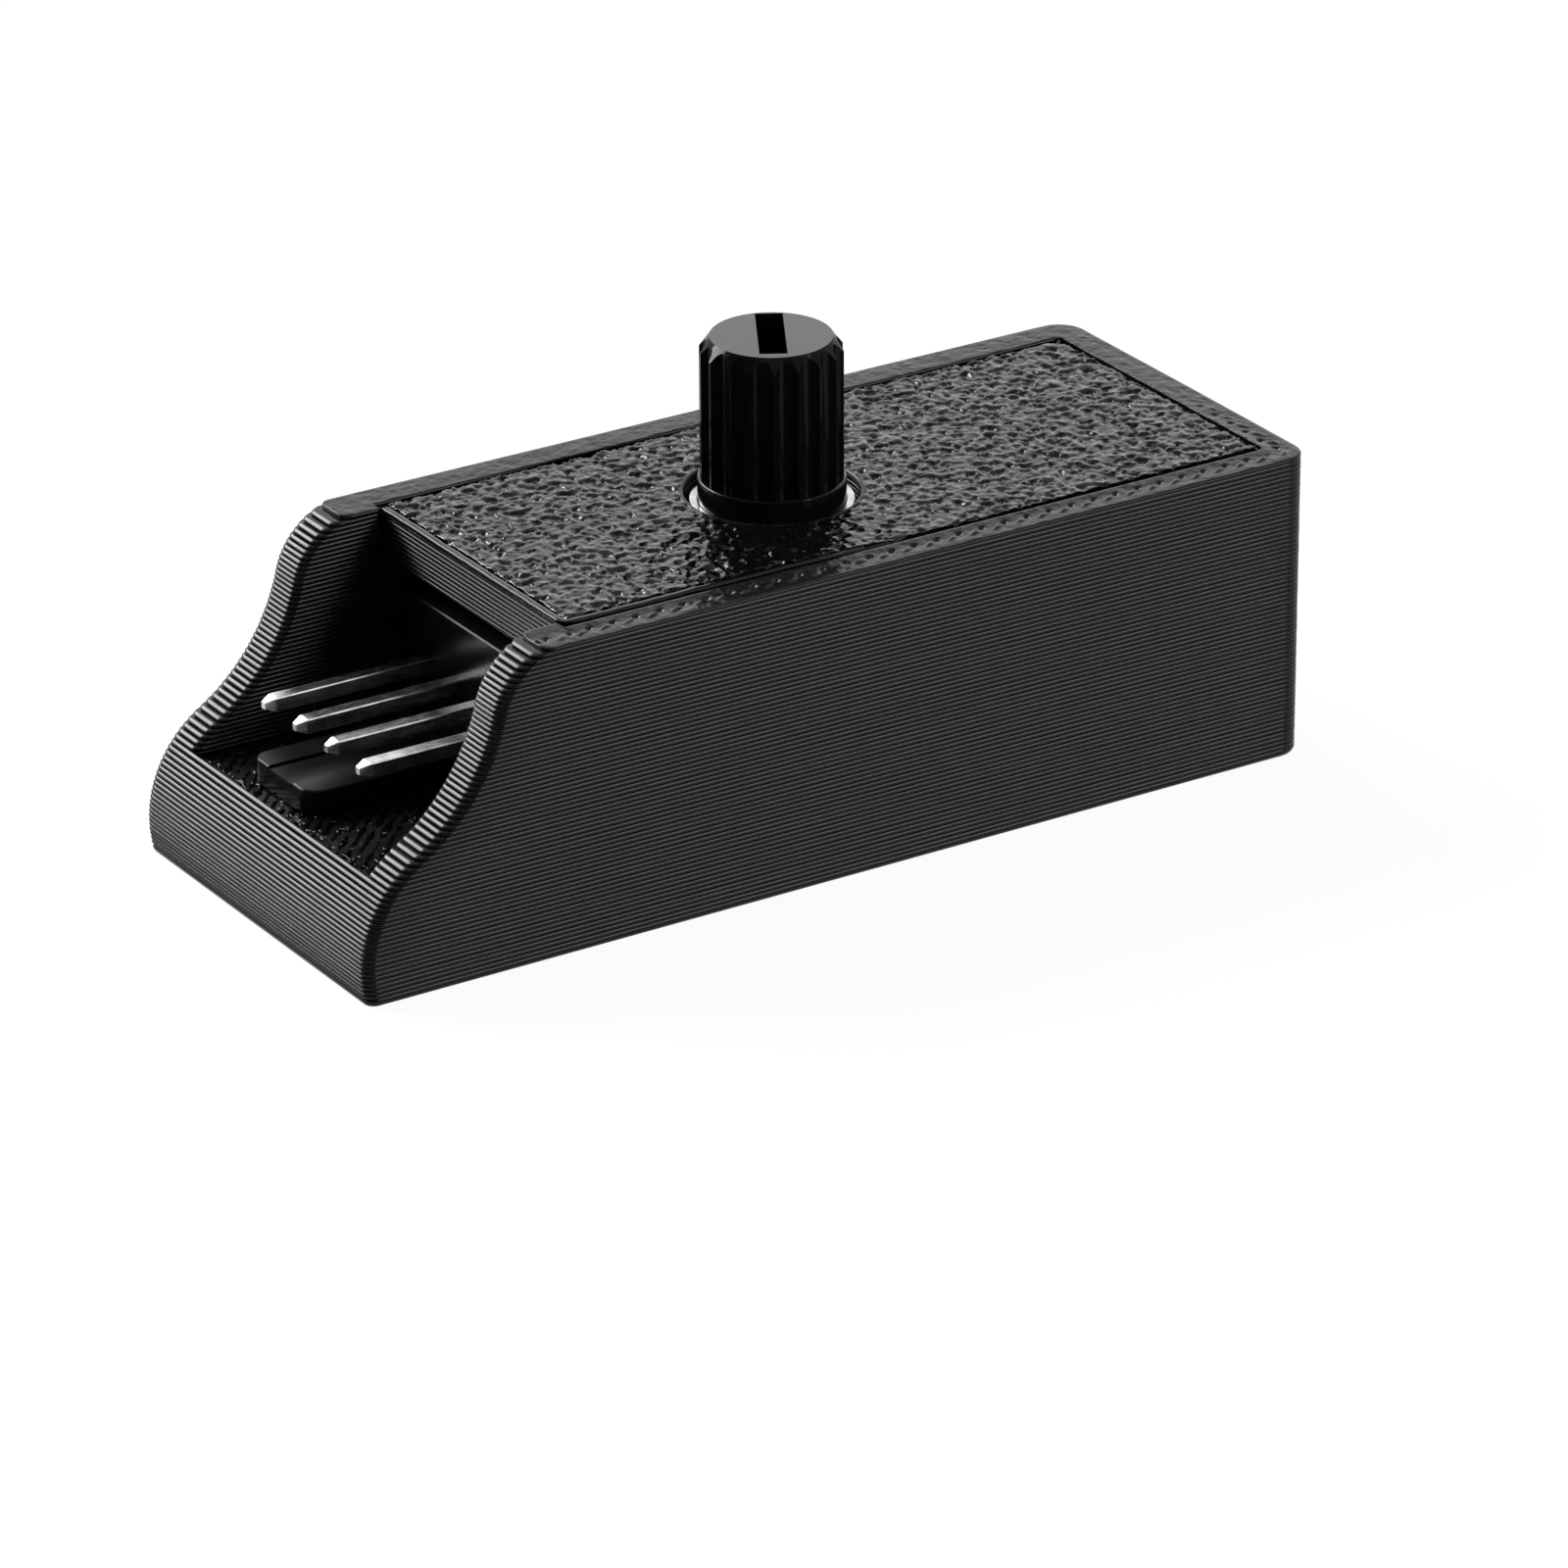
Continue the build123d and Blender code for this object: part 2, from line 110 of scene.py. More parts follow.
def newTree(name, lengths, floats=(), wholes=()):
    # lengths are in millimetres in a piece's sizes, and the other inputs are taken as they are
    tree = bpy.data.node_groups.new(name, "GeometryNodeTree")
    tree.is_modifier = True
    kinds = [("Geometry", "Geometry"), ("Material", "Material")]
    kinds += [(label, "Float") for label in [*lengths, *floats]] + [(label, "Int") for label in wholes]
    for label, kind in kinds:
        socket = tree.interface.new_socket(label, in_out="INPUT", socket_type="NodeSocket" + kind)
        if label in lengths:
            socket.subtype = "DISTANCE"
    tree.interface.new_socket("Geometry", in_out="OUTPUT", socket_type="NodeSocketGeometry")
    return tree, tree.nodes.new("NodeGroupInput").outputs


def attribute(tree, label, kind="FLOAT"):
    return made(tree, "GeometryNodeInputNamedAttribute", {"Name": label}, data_type=kind)


def position(tree):
    return made(tree, "GeometryNodeInputPosition")


def lumpy(tree, size, detail=1.0, twist=0.0):
    # a smooth random value about 0.5, with lumps of this size
    scale = maths(tree, "DIVIDE", 1.0, size)
    return put(tree, "ShaderNodeTexNoise", {"Vector": position(tree), "Scale": scale, "Detail": detail,
                                            "Distortion": twist}).outputs["Fac"]


def drifting(tree, spanX, spanY, spanZ):
    # a slow random value whose length of wave is set for each axis
    span = vectors(tree, "DIVIDE", position(tree), vector(tree, spanX, spanY, spanZ))
    return put(tree, "ShaderNodeTexNoise", {"Vector": span, "Scale": 1.0, "Detail": 2.0}).outputs


def eased(tree, value, start, full):
    return made(tree, "ShaderNodeMapRange", {"Value": value, "From Min": start, "From Max": full},
                interpolation_type="SMOOTHSTEP")


def moved(tree, geometry, offset):
    return made(tree, "GeometryNodeSetPosition", {"Geometry": geometry, "Offset": offset})


def softened(tree, geometry, selection=True):
    inputs = {"Geometry": geometry, "Selection": selection, "Shade Smooth": True}
    return made(tree, "GeometryNodeSetShadeSmooth", inputs)


def closeTree(tree, geometry, material):
    real = made(tree, "GeometryNodeRealizeInstances", {"Geometry": geometry})
    painted = made(tree, "GeometryNodeSetMaterial", {"Geometry": real, "Material": material})
    put(tree, "NodeGroupOutput", {"Geometry": painted})
    return tree


# small helpers for meshes
def addObject(name, data):
    thing = bpy.data.objects.new(name, data)
    scene.collection.objects.link(thing)
    return thing


def growMesh(name, mesh, tree, sizes, material):
    # runs a node tree on a mesh with a piece's sizes and keeps the result as a plain mesh
    host = addObject(name + "Source", mesh)
    modifier = host.modifiers.new(tree.name, "NODES")
    modifier.node_group = tree
    for item in tree.interface.items_tree:
        key = item.name[0].lower() + item.name[1:].replace(" ", "")
        if item.in_out == "INPUT" and key == "material":
            modifier[item.identifier] = material
        elif item.in_out == "INPUT" and key in sizes:
            modifier[item.identifier] = sizes[key] * (mm if item.subtype == "DISTANCE" else 1)
    bpy.context.view_layer.update()
    grown = bpy.data.meshes.new_from_object(host.evaluated_get(bpy.context.evaluated_depsgraph_get()))
    host.modifiers.remove(modifier)
    bpy.data.objects.remove(host)
    grown.name = name
    return grown


def addPiece(name, mesh, body, slot, *replaced):
    piece = addObject(name, mesh)
    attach(piece, body)
    if replaced:
        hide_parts(*replaced)
    print("piece", name, len(mesh.polygons), "faces")


def closedMesh(name, verts, faces, hole=()):
    # fills the hole inside the given edges and turns every face outwards
    mesh = bpy.data.meshes.new(name)
    mesh.from_pydata(verts, [], faces)
    work = bmesh.new()
    work.from_mesh(mesh)
    if hole:
        work.verts.ensure_lookup_table()
        edges = [work.edges.get((work.verts[a], work.verts[b])) for a, b in hole]
        bmesh.ops.triangle_fill(work, edges=edges, use_beauty=True)
    bmesh.ops.recalc_face_normals(work, faces=work.faces[:])
    work.to_mesh(mesh)
    work.free()
    return mesh


def storeValues(mesh, label, values):
    mesh.attributes.new(label, "FLOAT", "POINT").data.foreach_set("value", values)


# shader node groups shared by the finishes
noiseLow, noiseHigh = 0.35, 0.65  # most of a noise's values lie between these
stainStart, stainFull = 0.4, 0.65
grainRelief, scratchRelief = 0.02 * mm, 0.01 * mm
colourBump = 0.2


def newGroup(name, inputs, outputs):
    group = bpy.data.node_groups.new(name, "ShaderNodeTree")
    for label, value in inputs:
        socket = group.interface.new_socket(label, in_out="INPUT", socket_type="NodeSocketFloat")
        socket.default_value = value
    for label, kind in outputs:
        group.interface.new_socket(label, in_out="OUTPUT", socket_type=kind)
    start = group.nodes.new("NodeGroupInput")
    end = group.nodes.new("NodeGroupOutput")
    place = put(group, "ShaderNodeTexCoord").outputs["Object"]
    return group, start.outputs, end.inputs, place


def noise(tree, place, scale, detail=3.0, rough=0.55):
    return put(tree, "ShaderNodeTexNoise", {"Vector": place, "Scale": scale, "Detail": detail,
                                            "Roughness": rough}).outputs["Fac"]


def remap(tree, value, low, high, toLow, toHigh):
    return put(tree, "ShaderNodeMapRange", {"Value": value, "From Min": low, "From Max": high,
                                            "To Min": toLow, "To Max": toHigh}).outputs["Result"]


def makeGrainGroup():
    # fine mottling of a moulded or printed plastic: a shade, a roughness and a height
    group, start, end, place = newGroup(
        "plasticGrain", [("Scale", 4000.0), ("Rough Low", 0.3), ("Rough High", 0.5), ("Shade Low", 0.004),
                         ("Shade High", 0.01)],
        [("Shade", "NodeSocketColor"), ("Roughness", "NodeSocketFloat"), ("Height", "NodeSocketFloat")])
    fineShare, broadScale = 0.6, 0.12
    fine = noise(group, place, start["Scale"], 4.0, 0.6)
    broad = noise(group, place, times(group, start["Scale"], broadScale), 2.0)
    both = plus(group, times(group, fine, fineShare), times(group, broad, 1 - fineShare))
    shade = remap(group, both, noiseLow, noiseHigh, start["Shade Low"], start["Shade High"])
    rough = remap(group, broad, noiseLow, noiseHigh, start["Rough Low"], start["Rough High"])
    grey = made(group, "ShaderNodeCombineColor", {"Red": shade, "Green": shade, "Blue": shade})
    group.links.new(grey, end["Shade"])
    group.links.new(rough, end["Roughness"])
    group.links.new(fine, end["Height"])
    return group


def makeScuffGroup():
    # handling marks of metal: long fine scratches and soft stains
    group, start, end, place = newGroup(
        "metalScuff",
        [("Scale", 900.0), ("Stretch", 8.0), ("Rough Low", 0.2), ("Rough High", 0.4)],
        [("Mask", "NodeSocketFloat"), ("Roughness", "NodeSocketFloat"), ("Height", "NodeSocketFloat")])
    scratchScale = 6.0
    parts = put(group, "ShaderNodeSeparateXYZ", {"Vector": place}).outputs
    drawn = vector(group, maths(group, "DIVIDE", parts["X"], start["Stretch"]), parts["Y"], parts["Z"])
    scratch = noise(group, drawn, times(group, start["Scale"], scratchScale), 3.0, 0.6)
    stain = noise(group, place, start["Scale"], 3.0)
    rough = remap(group, scratch, noiseLow, noiseHigh, start["Rough Low"], start["Rough High"])
    group.links.new(remap(group, stain, stainStart, stainFull, 0.0, 1.0), end["Mask"])
    group.links.new(rough, end["Roughness"])
    group.links.new(scratch, end["Height"])
    return group


plasticGrain = makeGrainGroup()
metalScuff = makeScuffGroup()


# finishes
def newMaterial(name):
    material = bpy.data.materials.new(name)
    material.use_nodes = True
    tree = material.node_tree
    return material, tree, tree.nodes["Principled BSDF"]


def addRelief(tree, shader, height, strength, distance):
    lumps = made(tree, "ShaderNodeBump", {"Height": height, "Strength": strength, "Distance": distance})
    tree.links.new(lumps, shader.inputs["Normal"])


def mixedColour(tree, share, low, high):
    mix = put(tree, "ShaderNodeMix", data_type="RGBA")
    for socket in mix.inputs:
        if socket.type == "RGBA":
            socket.default_value = (*(low if socket.name == "A" else high), 1)
    tree.links.new(share, mix.inputs["Factor"])
    return [s for s in mix.outputs if s.type == "RGBA"][0]


def grainMaterial(name, scale, bump, shade=(0.0, 1.0), rough=(0.0, 1.0)):
    material, tree, shader = newMaterial(name)
    values = {"Scale": scale, "Shade Low": shade[0], "Shade High": shade[1], "Rough Low": rough[0],
              "Rough High": rough[1]}
    grain = put(tree, "ShaderNodeGroup", values, node_tree=plasticGrain).outputs
    addRelief(tree, shader, grain["Height"], bump, grainRelief)
    return material, tree, shader, grain


def plasticMaterial(name, scale, shade, rough, specular, bump):
    material, tree, shader, grain = grainMaterial(name, scale, bump, shade, rough)
    tree.links.new(grain["Shade"], shader.inputs["Base Color"])
    tree.links.new(grain["Roughness"], shader.inputs["Roughness"])
    shader.inputs["Specular IOR Level"].default_value = specular
    return material


def twoFaceMaterial(name, scale, shade, bump, wall, top, steep=0.8, level=0.95):
    # a plastic whose upward faces have a gloss that its walls lack
    wallRough, wallSpecular = wall
    topRough, topGloss = top
    material, tree, shader, grain = grainMaterial(name, scale, bump, shade)
    normal = put(tree, "ShaderNodeNewGeometry").outputs["True Normal"]
    up = put(tree, "ShaderNodeSeparateXYZ", {"Vector": normal}).outputs["Z"]
    tree.links.new(grain["Shade"], shader.inputs["Base Color"])
    tree.links.new(remap(tree, up, steep, level, wallRough, topRough), shader.inputs["Roughness"])
    tree.links.new(remap(tree, up, steep, level, 0.0, topGloss), shader.inputs["Coat Weight"])
    shader.inputs["Coat Roughness"].default_value = topRough
    shader.inputs["Specular IOR Level"].default_value = wallSpecular
    return material


def colourMaterial(name, colour, dark, scale, rough):
    material, tree, shader, grain = grainMaterial(name, scale, colourBump, rough=rough)
    tree.links.new(mixedColour(tree, grain["Height"], dark, colour), shader.inputs["Base Color"])
    tree.links.new(grain["Roughness"], shader.inputs["Roughness"])
    return material


def metalMaterial(name, colour, stain, scale, rough, bump):
    material, tree, shader = newMaterial(name)
    scuff = put(tree, "ShaderNodeGroup", {"Scale": scale, "Rough Low": rough[0], "Rough High": rough[1]},
                node_tree=metalScuff).outputs
    tree.links.new(mixedColour(tree, scuff["Mask"], colour, stain), shader.inputs["Base Color"])
    tree.links.new(scuff["Roughness"], shader.inputs["Roughness"])
    addRelief(tree, shader, scuff["Height"], bump, scratchRelief)
    shader.inputs["Metallic"].default_value = 1.0
    return material


# a plastic: grain scale, shades, roughness, gloss, relief
# one with two faces: grain scale, shades, relief, wall (roughness, gloss), top (roughness, gloss)
printedBlack = plasticMaterial("printedBlack", 9000, (0.002, 0.005), (0.2, 0.28), 0.12, 0.08)
lidBlack = twoFaceMaterial("lidBlack", 9000, (0.001, 0.002), 0.08, (0.15, 0.05), (0.09, 0.31), 0.7, 0.88)
strandBlack = twoFaceMaterial("strandBlack", 9000, (0.001, 0.002), 0.08, (0.2, 0.04), (0.12, 0.31))
edgeBlack = plasticMaterial("edgeBlack", 9000, (0.001, 0.003), (0.2, 0.28), 0.075, 0.08)
# the shelf gets a darker, nearly glossless copy of the printed black: painted shade for the recess under the
# pins
shelfBlack = plasticMaterial("shelfBlack", 9000, (0.0005, 0.0015), (0.25, 0.4), 0.003, 0.2)
hairBlack = plasticMaterial("hairBlack", 9000, (0.002, 0.006), (0.2, 0.3), 0.3, 0.1)
print("finishes ready")


# printed case: one closed slab a layer, its rim rounded into a bead; sizes in millimetres
caseSizes = {
    "layerHeight": 0.2, "firstLayer": 0.3, "overlap": 0.004, "layerShift": 0.005, "seed": 7,
    "ripple": 0.006, "rippleLength": 4.0, "rippleHeight": 0.35,
    "beadDepth": 0.06, "beadWidest": 0.47, "noseFall": 0.3, "cheekFall": 0.34, "fallMost": 0.5,
    "beadRows": [0.0, 0.2, 0.4, 0.47, 0.55, 0.68, 0.82, 0.92, 1.0],
    # the bead's face: share of the layer's height and share of the bead's depth
    "beadFace": [(0.0, 0.0), (0.4, 0.93), (0.47, 1.0), (0.55, 0.97), (0.68, 0.82), (0.82, 0.55), (0.92, 0.28),
                 (1.0, 0.0)],
    "pointStep": 2.6, "arcStep": 0.27, "arcPoints": 3, "straight": 0.01,
    "frontCorner": 0.5, "rearCorner": 1.25, "innerCorner": 0.4, "wellCorner": 0.2, "lipCorner": 0.1,
    "seatCorner": 0.3,
    "noseRadius": 5.14, "noseHeight": 1.34, "waistRadius": 8.7, "crownRadius": 3.29, "crownSetback": 9.46,
    "crownTrim": 0.03, "sideWall": 2.1, "rearWall": 1.95, "floor": 1.6, "noseWall": 1.4, "boardLow": 3.0,
    "shelfTop": 4.5, "lipTop": 4.7, "wellFront": -12.4, "underFront": -11.3, "underRear": 19.8,
    "underHalf": 5.85, "windowHalf": 5.53, "windowTop": 10.7, "seatFloor": 11.3, "seatFront": -12.59,
    "seatStep": 0.55,
}
caseLow, caseHigh = [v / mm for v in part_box("enclosure_body")]
wallHalf = caseHigh.y - caseSizes["sideWall"]
innerRear = caseHigh.x - caseSizes["rearWall"]
seatHalf = wallHalf + caseSizes["seatStep"]
seatRear = innerRear + caseSizes["seatStep"]


def noseCurve():
    # returns the case's front x for a height, from three tangent arcs
    c = caseSizes
    nose = Vector((caseLow.x + c["noseRadius"], c["noseHeight"]))
    crown = Vector((caseLow.x + c["crownSetback"], caseHigh.z + c["crownTrim"] - c["crownRadius"]))
    span = crown - nose
    toNose = c["noseRadius"] + c["waistRadius"]
    toCrown = c["crownRadius"] + c["waistRadius"]
    along = (toNose ** 2 - toCrown ** 2 + span.length ** 2) / (2 * span.length)
    away = math.sqrt(toNose ** 2 - along ** 2)
    unit = span.normalized()
    waist = nose + unit * along + Vector((-unit.y, unit.x)) * away
    lowJoin = (nose + (waist - nose).normalized() * c["noseRadius"]).y
    highJoin = (crown + (waist - crown).normalized() * c["crownRadius"]).y

    def frontAt(z):
        if z < lowJoin:
            return nose.x - math.sqrt(c["noseRadius"] ** 2 - (z - nose.y) ** 2)
        if z < highJoin:
            return waist.x + math.sqrt(c["waistRadius"] ** 2 - (z - waist.y) ** 2)
        return crown.x - math.sqrt(c["crownRadius"] ** 2 - (z - crown.y) ** 2)

    return frontAt


frontAt = noseCurve()
topMiddle = caseHigh.z - caseSizes["layerHeight"] / 2  # half way up the top layer


def roundedLoop(corners, step):
    # corners are (x, y, radius); arcs get short steps and straight runs long ones
    count = len(corners)
    runs = []
    for i in range(count):
        before = Vector(corners[i - 1][:2])
        here = Vector(corners[i][:2])
        after = Vector(corners[(i + 1) % count][:2])
        radius = corners[i][2]
        inward = (here - before).normalized()
        outward = (after - here).normalized()
        turn = math.atan2(inward.x * outward.y - inward.y * outward.x, inward.dot(outward))
        if radius <= 0 or abs(turn) < caseSizes["straight"]:
            runs.append([here])
            continue
        start = here - inward * radius * math.tan(abs(turn) / 2)
        side = Vector((-inward.y, inward.x)) * (1 if turn > 0 else -1)
        centre = start + side * radius
        pieces = max(caseSizes["arcPoints"], math.ceil(abs(turn) / caseSizes["arcStep"]))
        spins = [Matrix.Rotation(turn * k / pieces, 2) for k in range(pieces + 1)]
        runs.append([centre + spin @ (start - centre) for spin in spins])
    points = []
    for i in range(count):
        points += runs[i]
        a = runs[i][-1]
        b = runs[(i + 1) % count][0]
        cuts = max(1, math.ceil((b - a).length / step))
        points += [a.lerp(b, k / cuts) for k in range(1, cuts)]
    return points


def loopNormals(points):
    # the normal at each point, lengthened at a corner so that both sides move out alike
    sharpest = 0.4
    normals = []
    count = len(points)
    for i in range(count):
        a = (points[i] - points[i - 1]).normalized()
        b = (points[(i + 1) % count] - points[i]).normalized()
        na = Vector((a.y, -a.x))
        nb = Vector((b.y, -b.x))
        normals.append((na + nb) / max(sharpest, 1 + na.dot(nb)))
    return normals


def mirrored(corners):
    return [(x, -y, radius) for x, y, radius in reversed(corners)]


class LayerStack:
    # collects closed slabs with the attributes that the bead tree reads
    def __init__(self):
        self.verts = []
        self.faces = []
        self.smooth = []
        self.rise = []
        self.outward = []
        self.fall = []
        self.layer = []

    def addSlab(self, loops, low, high, layer, setback=0.0, reach=0.0):
        # setback is how far the bead's top falls back on faces to the front, up to x = reach
        rings = []
        for points in loops:
            normals = loopNormals(points)
            rows = []
            for t in caseSizes["beadRows"]:
                rows.append(len(self.verts))
                z = low + (high - low) * t
                for p, n in zip(points, normals):
                    self.verts.append((p.x * mm, p.y * mm, z * mm))
                    self.rise.append(t)
                    self.outward += (n.x, n.y, 0.0)
                    self.fall.append(setback * mm * max(0.0, -n.x) if p.x < reach else 0.0)
                    self.layer.append(layer)
            count = len(points)
            for below, above in zip(rows, rows[1:]):
                for i in range(count):
                    j = (i + 1) % count
                    self.faces.append((below + i, below + j, above + j, above + i))
                    self.smooth.append(True)
            rings.append((rows[0], rows[-1]))
        for caps in self.capLoops(loops):
            bottom = [rings[k][0] + i for k, i in caps]
            top = [rings[k][1] + i for k, i in caps]
            self.faces += [tuple(reversed(bottom)), tuple(top)]
            self.smooth += [False, False]

    def capLoops(self, loops):
        # a slab with a hole gets two caps, which meet along its middle
        if len(loops) == 1:
            return [[(0, i) for i in range(len(loops[0]))]]

        def middle(points, pick):
            x = pick(p.x for p in points)
            return min(range(len(points)), key=lambda i: (points[i].x - x) ** 2 + points[i].y ** 2)

        def stretch(which, first, last):
            count = len(loops[which])
            return [(which, (first + k) % count) for k in range((last - first) % count + 1)]

        outer, hole = loops
        a0, a1 = middle(outer, min), middle(outer, max)
        b0, b1 = middle(hole, min), middle(hole, max)
        return [stretch(0, a0, a1) + stretch(1, b1, b0), stretch(0, a1, a0) + stretch(1, b0, b1)]

    def mesh(self, name):
        mesh = bpy.data.meshes.new(name)
        mesh.from_pydata(self.verts, [], self.faces)
        mesh.polygons.foreach_set("use_smooth", self.smooth)
        storeValues(mesh, "beadRise", self.rise)
        storeValues(mesh, "beadFall", self.fall)
        mesh.attributes.new("beadOut", "FLOAT_VECTOR", "POINT").data.foreach_set("vector", self.outward)
        mesh.attributes.new("layer", "INT", "POINT").data.foreach_set("value", self.layer)
        return mesh


def makeBeadTree():
    lengths = ["Bead Depth", "Layer Shift", "Ripple", "Ripple Length", "Ripple Height"]
    tree, start = newTree("layerBeads", lengths, wholes=["Seed"])
    rise = attribute(tree, "beadRise")
    face = put(tree, "ShaderNodeFloatCurve", {"Value": rise})
    curve = face.mapping.curves[0]
    points = caseSizes["beadFace"]
    for x, y in points[1:-1]:
        curve.points.new(x, y)
    curve.points[0].location = points[0]
    curve.points[-1].location = points[-1]
    for point in curve.points:
        point.handle_type = "VECTOR"
    face.mapping.update()
    # above its widest row the bead also runs back towards the next layer's edge
    above = maths(tree, "GREATER_THAN", rise, caseSizes["beadWidest"])
    depth = maths(tree, "MULTIPLY_ADD", above, attribute(tree, "beadFall"), start["Bead Depth"])
    sunk = times(tree, minus(tree, face.outputs[0], 1.0), depth)
    chance = put(tree, "FunctionNodeRandomValue", data_type="FLOAT")
    for socket in chance.inputs:
        if socket.name == "Min" and socket.type == "VALUE":
            socket.default_value = -1.0
        if socket.name == "ID":
            tree.links.new(attribute(tree, "layer", "INT"), socket)
        if socket.name == "Seed":
            tree.links.new(start["Seed"], socket)
    luck = [s for s in chance.outputs if s.type == "VALUE"][0]
    shift = times(tree, luck, start["Layer Shift"])
    wave = drifting(tree, start["Ripple Length"], start["Ripple Length"], start["Ripple Height"])["Fac"]
    ripple = times(tree, maths(tree, "MULTIPLY_ADD", wave, 2.0, -1.0), start["Ripple"])
    total = plus(tree, plus(tree, sunk, shift), ripple)
    beads = moved(tree, start["Geometry"], scaled(tree, attribute(tree, "beadOut", "FLOAT_VECTOR"), total))
    return closeTree(tree, beads, start["Material"])


def caseOutlines(mid):
    # the closed outlines of the layer at this height: a list of slabs, each an outline and any hole
    c = caseSizes
    x, side, rear, window = frontAt(mid), caseHigh.y, caseHigh.x, c["windowHalf"]
    well, lip, inner = c["wellCorner"], c["lipCorner"], c["innerCorner"]
    nearCorners = [(x, -side, c["frontCorner"]), (rear, -side, c["rearCorner"])]
    block = nearCorners + mirrored(nearCorners)
    if mid < c["floor"]:
        return [[block]]
    if mid < c["boardLow"]:
        farHole = [(c["underFront"], c["underHalf"], well), (c["underRear"], c["underHalf"], well)]
        return [[block, farHole + mirrored(farHole)]]
    if mid < c["shelfTop"]:
        farHole = [(c["wellFront"], wallHalf, well), (innerRear, wallHalf, well)]
        return [[block, farHole + mirrored(farHole)]]
    nearArm = nearCorners + [(rear, -window, well), (innerRear, -window, well), (innerRear, -wallHalf, well)]
    if mid < c["lipTop"]:
        lipX = caseLow.x + c["noseWall"]
        return [[nearArm + [(lipX, -wallHalf, lip), (lipX, wallHalf, lip)] + mirrored(nearArm)]]
    if mid < c["windowTop"]:
        return [[nearArm + [(x, -wallHalf, inner)]], [[(x, wallHalf, inner)] + mirrored(nearArm)]]
    farInside = [(x, wallHalf, inner)]
    if mid < c["seatFloor"]:
        farInside += [(innerRear, wallHalf, well)]
    else:
        farInside += [(c["seatFront"], wallHalf, lip), (c["seatFront"], seatHalf, lip),
                      (seatRear, seatHalf, c["seatCorner"])]
    return [[block + farInside + mirrored(farInside)]]


def caseLayers():
    c = caseSizes
    stack = LayerStack()
    low = 0.0
    layer = 0
    while low < caseHigh.z - 1.5 * c["layerHeight"]:  # the rim is the top layer
        high = low + (c["layerHeight"] if layer else c["firstLayer"])
        mid = (low + high) / 2
        x = frontAt(mid)
        # only the curved front steps back from layer to layer
        step = frontAt(min(mid + c["layerHeight"], topMiddle)) - x
        share = c["noseFall"] if mid < c["lipTop"] else c["cheekFall"]
        setback = share * min(c["fallMost"], max(0.0, step))
        for loops in caseOutlines(mid):
            outlines = [roundedLoop(corners, c["pointStep"]) for corners in loops]
            reach = x + c["frontCorner"]
            stack.addSlab(outlines, low - c["overlap"], high + c["overlap"], layer, setback, reach)
        low = high
        layer += 1
    print("case layers", layer)
    return stack.mesh("caseLayers")


layerBeads = makeBeadTree()
printedCase = growMesh("printedCase", caseLayers(), layerBeads, caseSizes, printedBlack)
addPiece("printedCase", printedCase, "case", "printed_black", "enclosure_body")


# strands of plastic laid along a path
def makeStrandTree():
    lengths = ["Width", "Height", "Step", "Wobble", "Wobble Length"]
    tree, start = newTree("strandAlongPath", lengths, ["Roundness"], ["Sides"])
    path = made(tree, "GeometryNodeMeshToCurve", {"Mesh": start["Geometry"]})
    even = made(tree, "GeometryNodeResampleCurve", {"Curve": path, "Length": start["Step"]}, mode="LENGTH")
    wave = drifting(tree, start["Wobble Length"], start["Wobble Length"], start["Wobble Length"])["Color"]
    swing = times(tree, start["Wobble"], 2.0)
    laid = moved(tree, even, scaled(tree, vectors(tree, "SUBTRACT", wave, (0.5, 0.5, 0.5)), swing))
    upright = made(tree, "GeometryNodeSetCurveNormal", {"Curve": laid}, mode="Z_UP")
    ring = made(tree, "GeometryNodeCurvePrimitiveCircle", {"Resolution": start["Sides"], "Radius": 0.5},
                mode="RADIUS")
    # a roundness below 1 flattens the strand's top and underside
    spot = put(tree, "ShaderNodeSeparateXYZ", {"Vector": position(tree)}).outputs
    rise = maths(tree, "POWER", maths(tree, "ABSOLUTE", times(tree, spot["Y"], 2.0)), start["Roundness"])
    rise = times(tree, maths(tree, "SIGN", spot["Y"]), times(tree, rise, 0.5))
    section = vector(tree, spot["X"], rise)
    shaped = made(tree, "GeometryNodeSetPosition", {"Geometry": ring, "Position": section})
    stretched = vector(tree, start["Width"], start["Height"], 1.0)
    oval = made(tree, "GeometryNodeTransform", {"Geometry": shaped, "Scale": stretched})
    inputs = {"Curve": upright, "Profile Curve": oval, "Fill Caps": True}
    swept = made(tree, "GeometryNodeCurveToMesh", inputs)
    return closeTree(tree, softened(tree, swept), start["Material"])


strandAlongPath = makeStrandTree()


def layStrands(name, lines, sizes, material):
    # each line is (points, closed); its edges become a curve inside the node tree
    verts = []
    edges = []
    for points, closed in lines:
        first = len(verts)
        verts += points
        edges += [(first + i, first + i + 1) for i in range(len(points) - 1)]
        if closed:
            edges.append((len(verts) - 1, first))
    mesh = bpy.data.meshes.new(name + "Path")
    mesh.from_pydata([Vector(v) * mm for v in verts], edges, [])
    return growMesh(name, mesh, strandAlongPath, sizes, material)


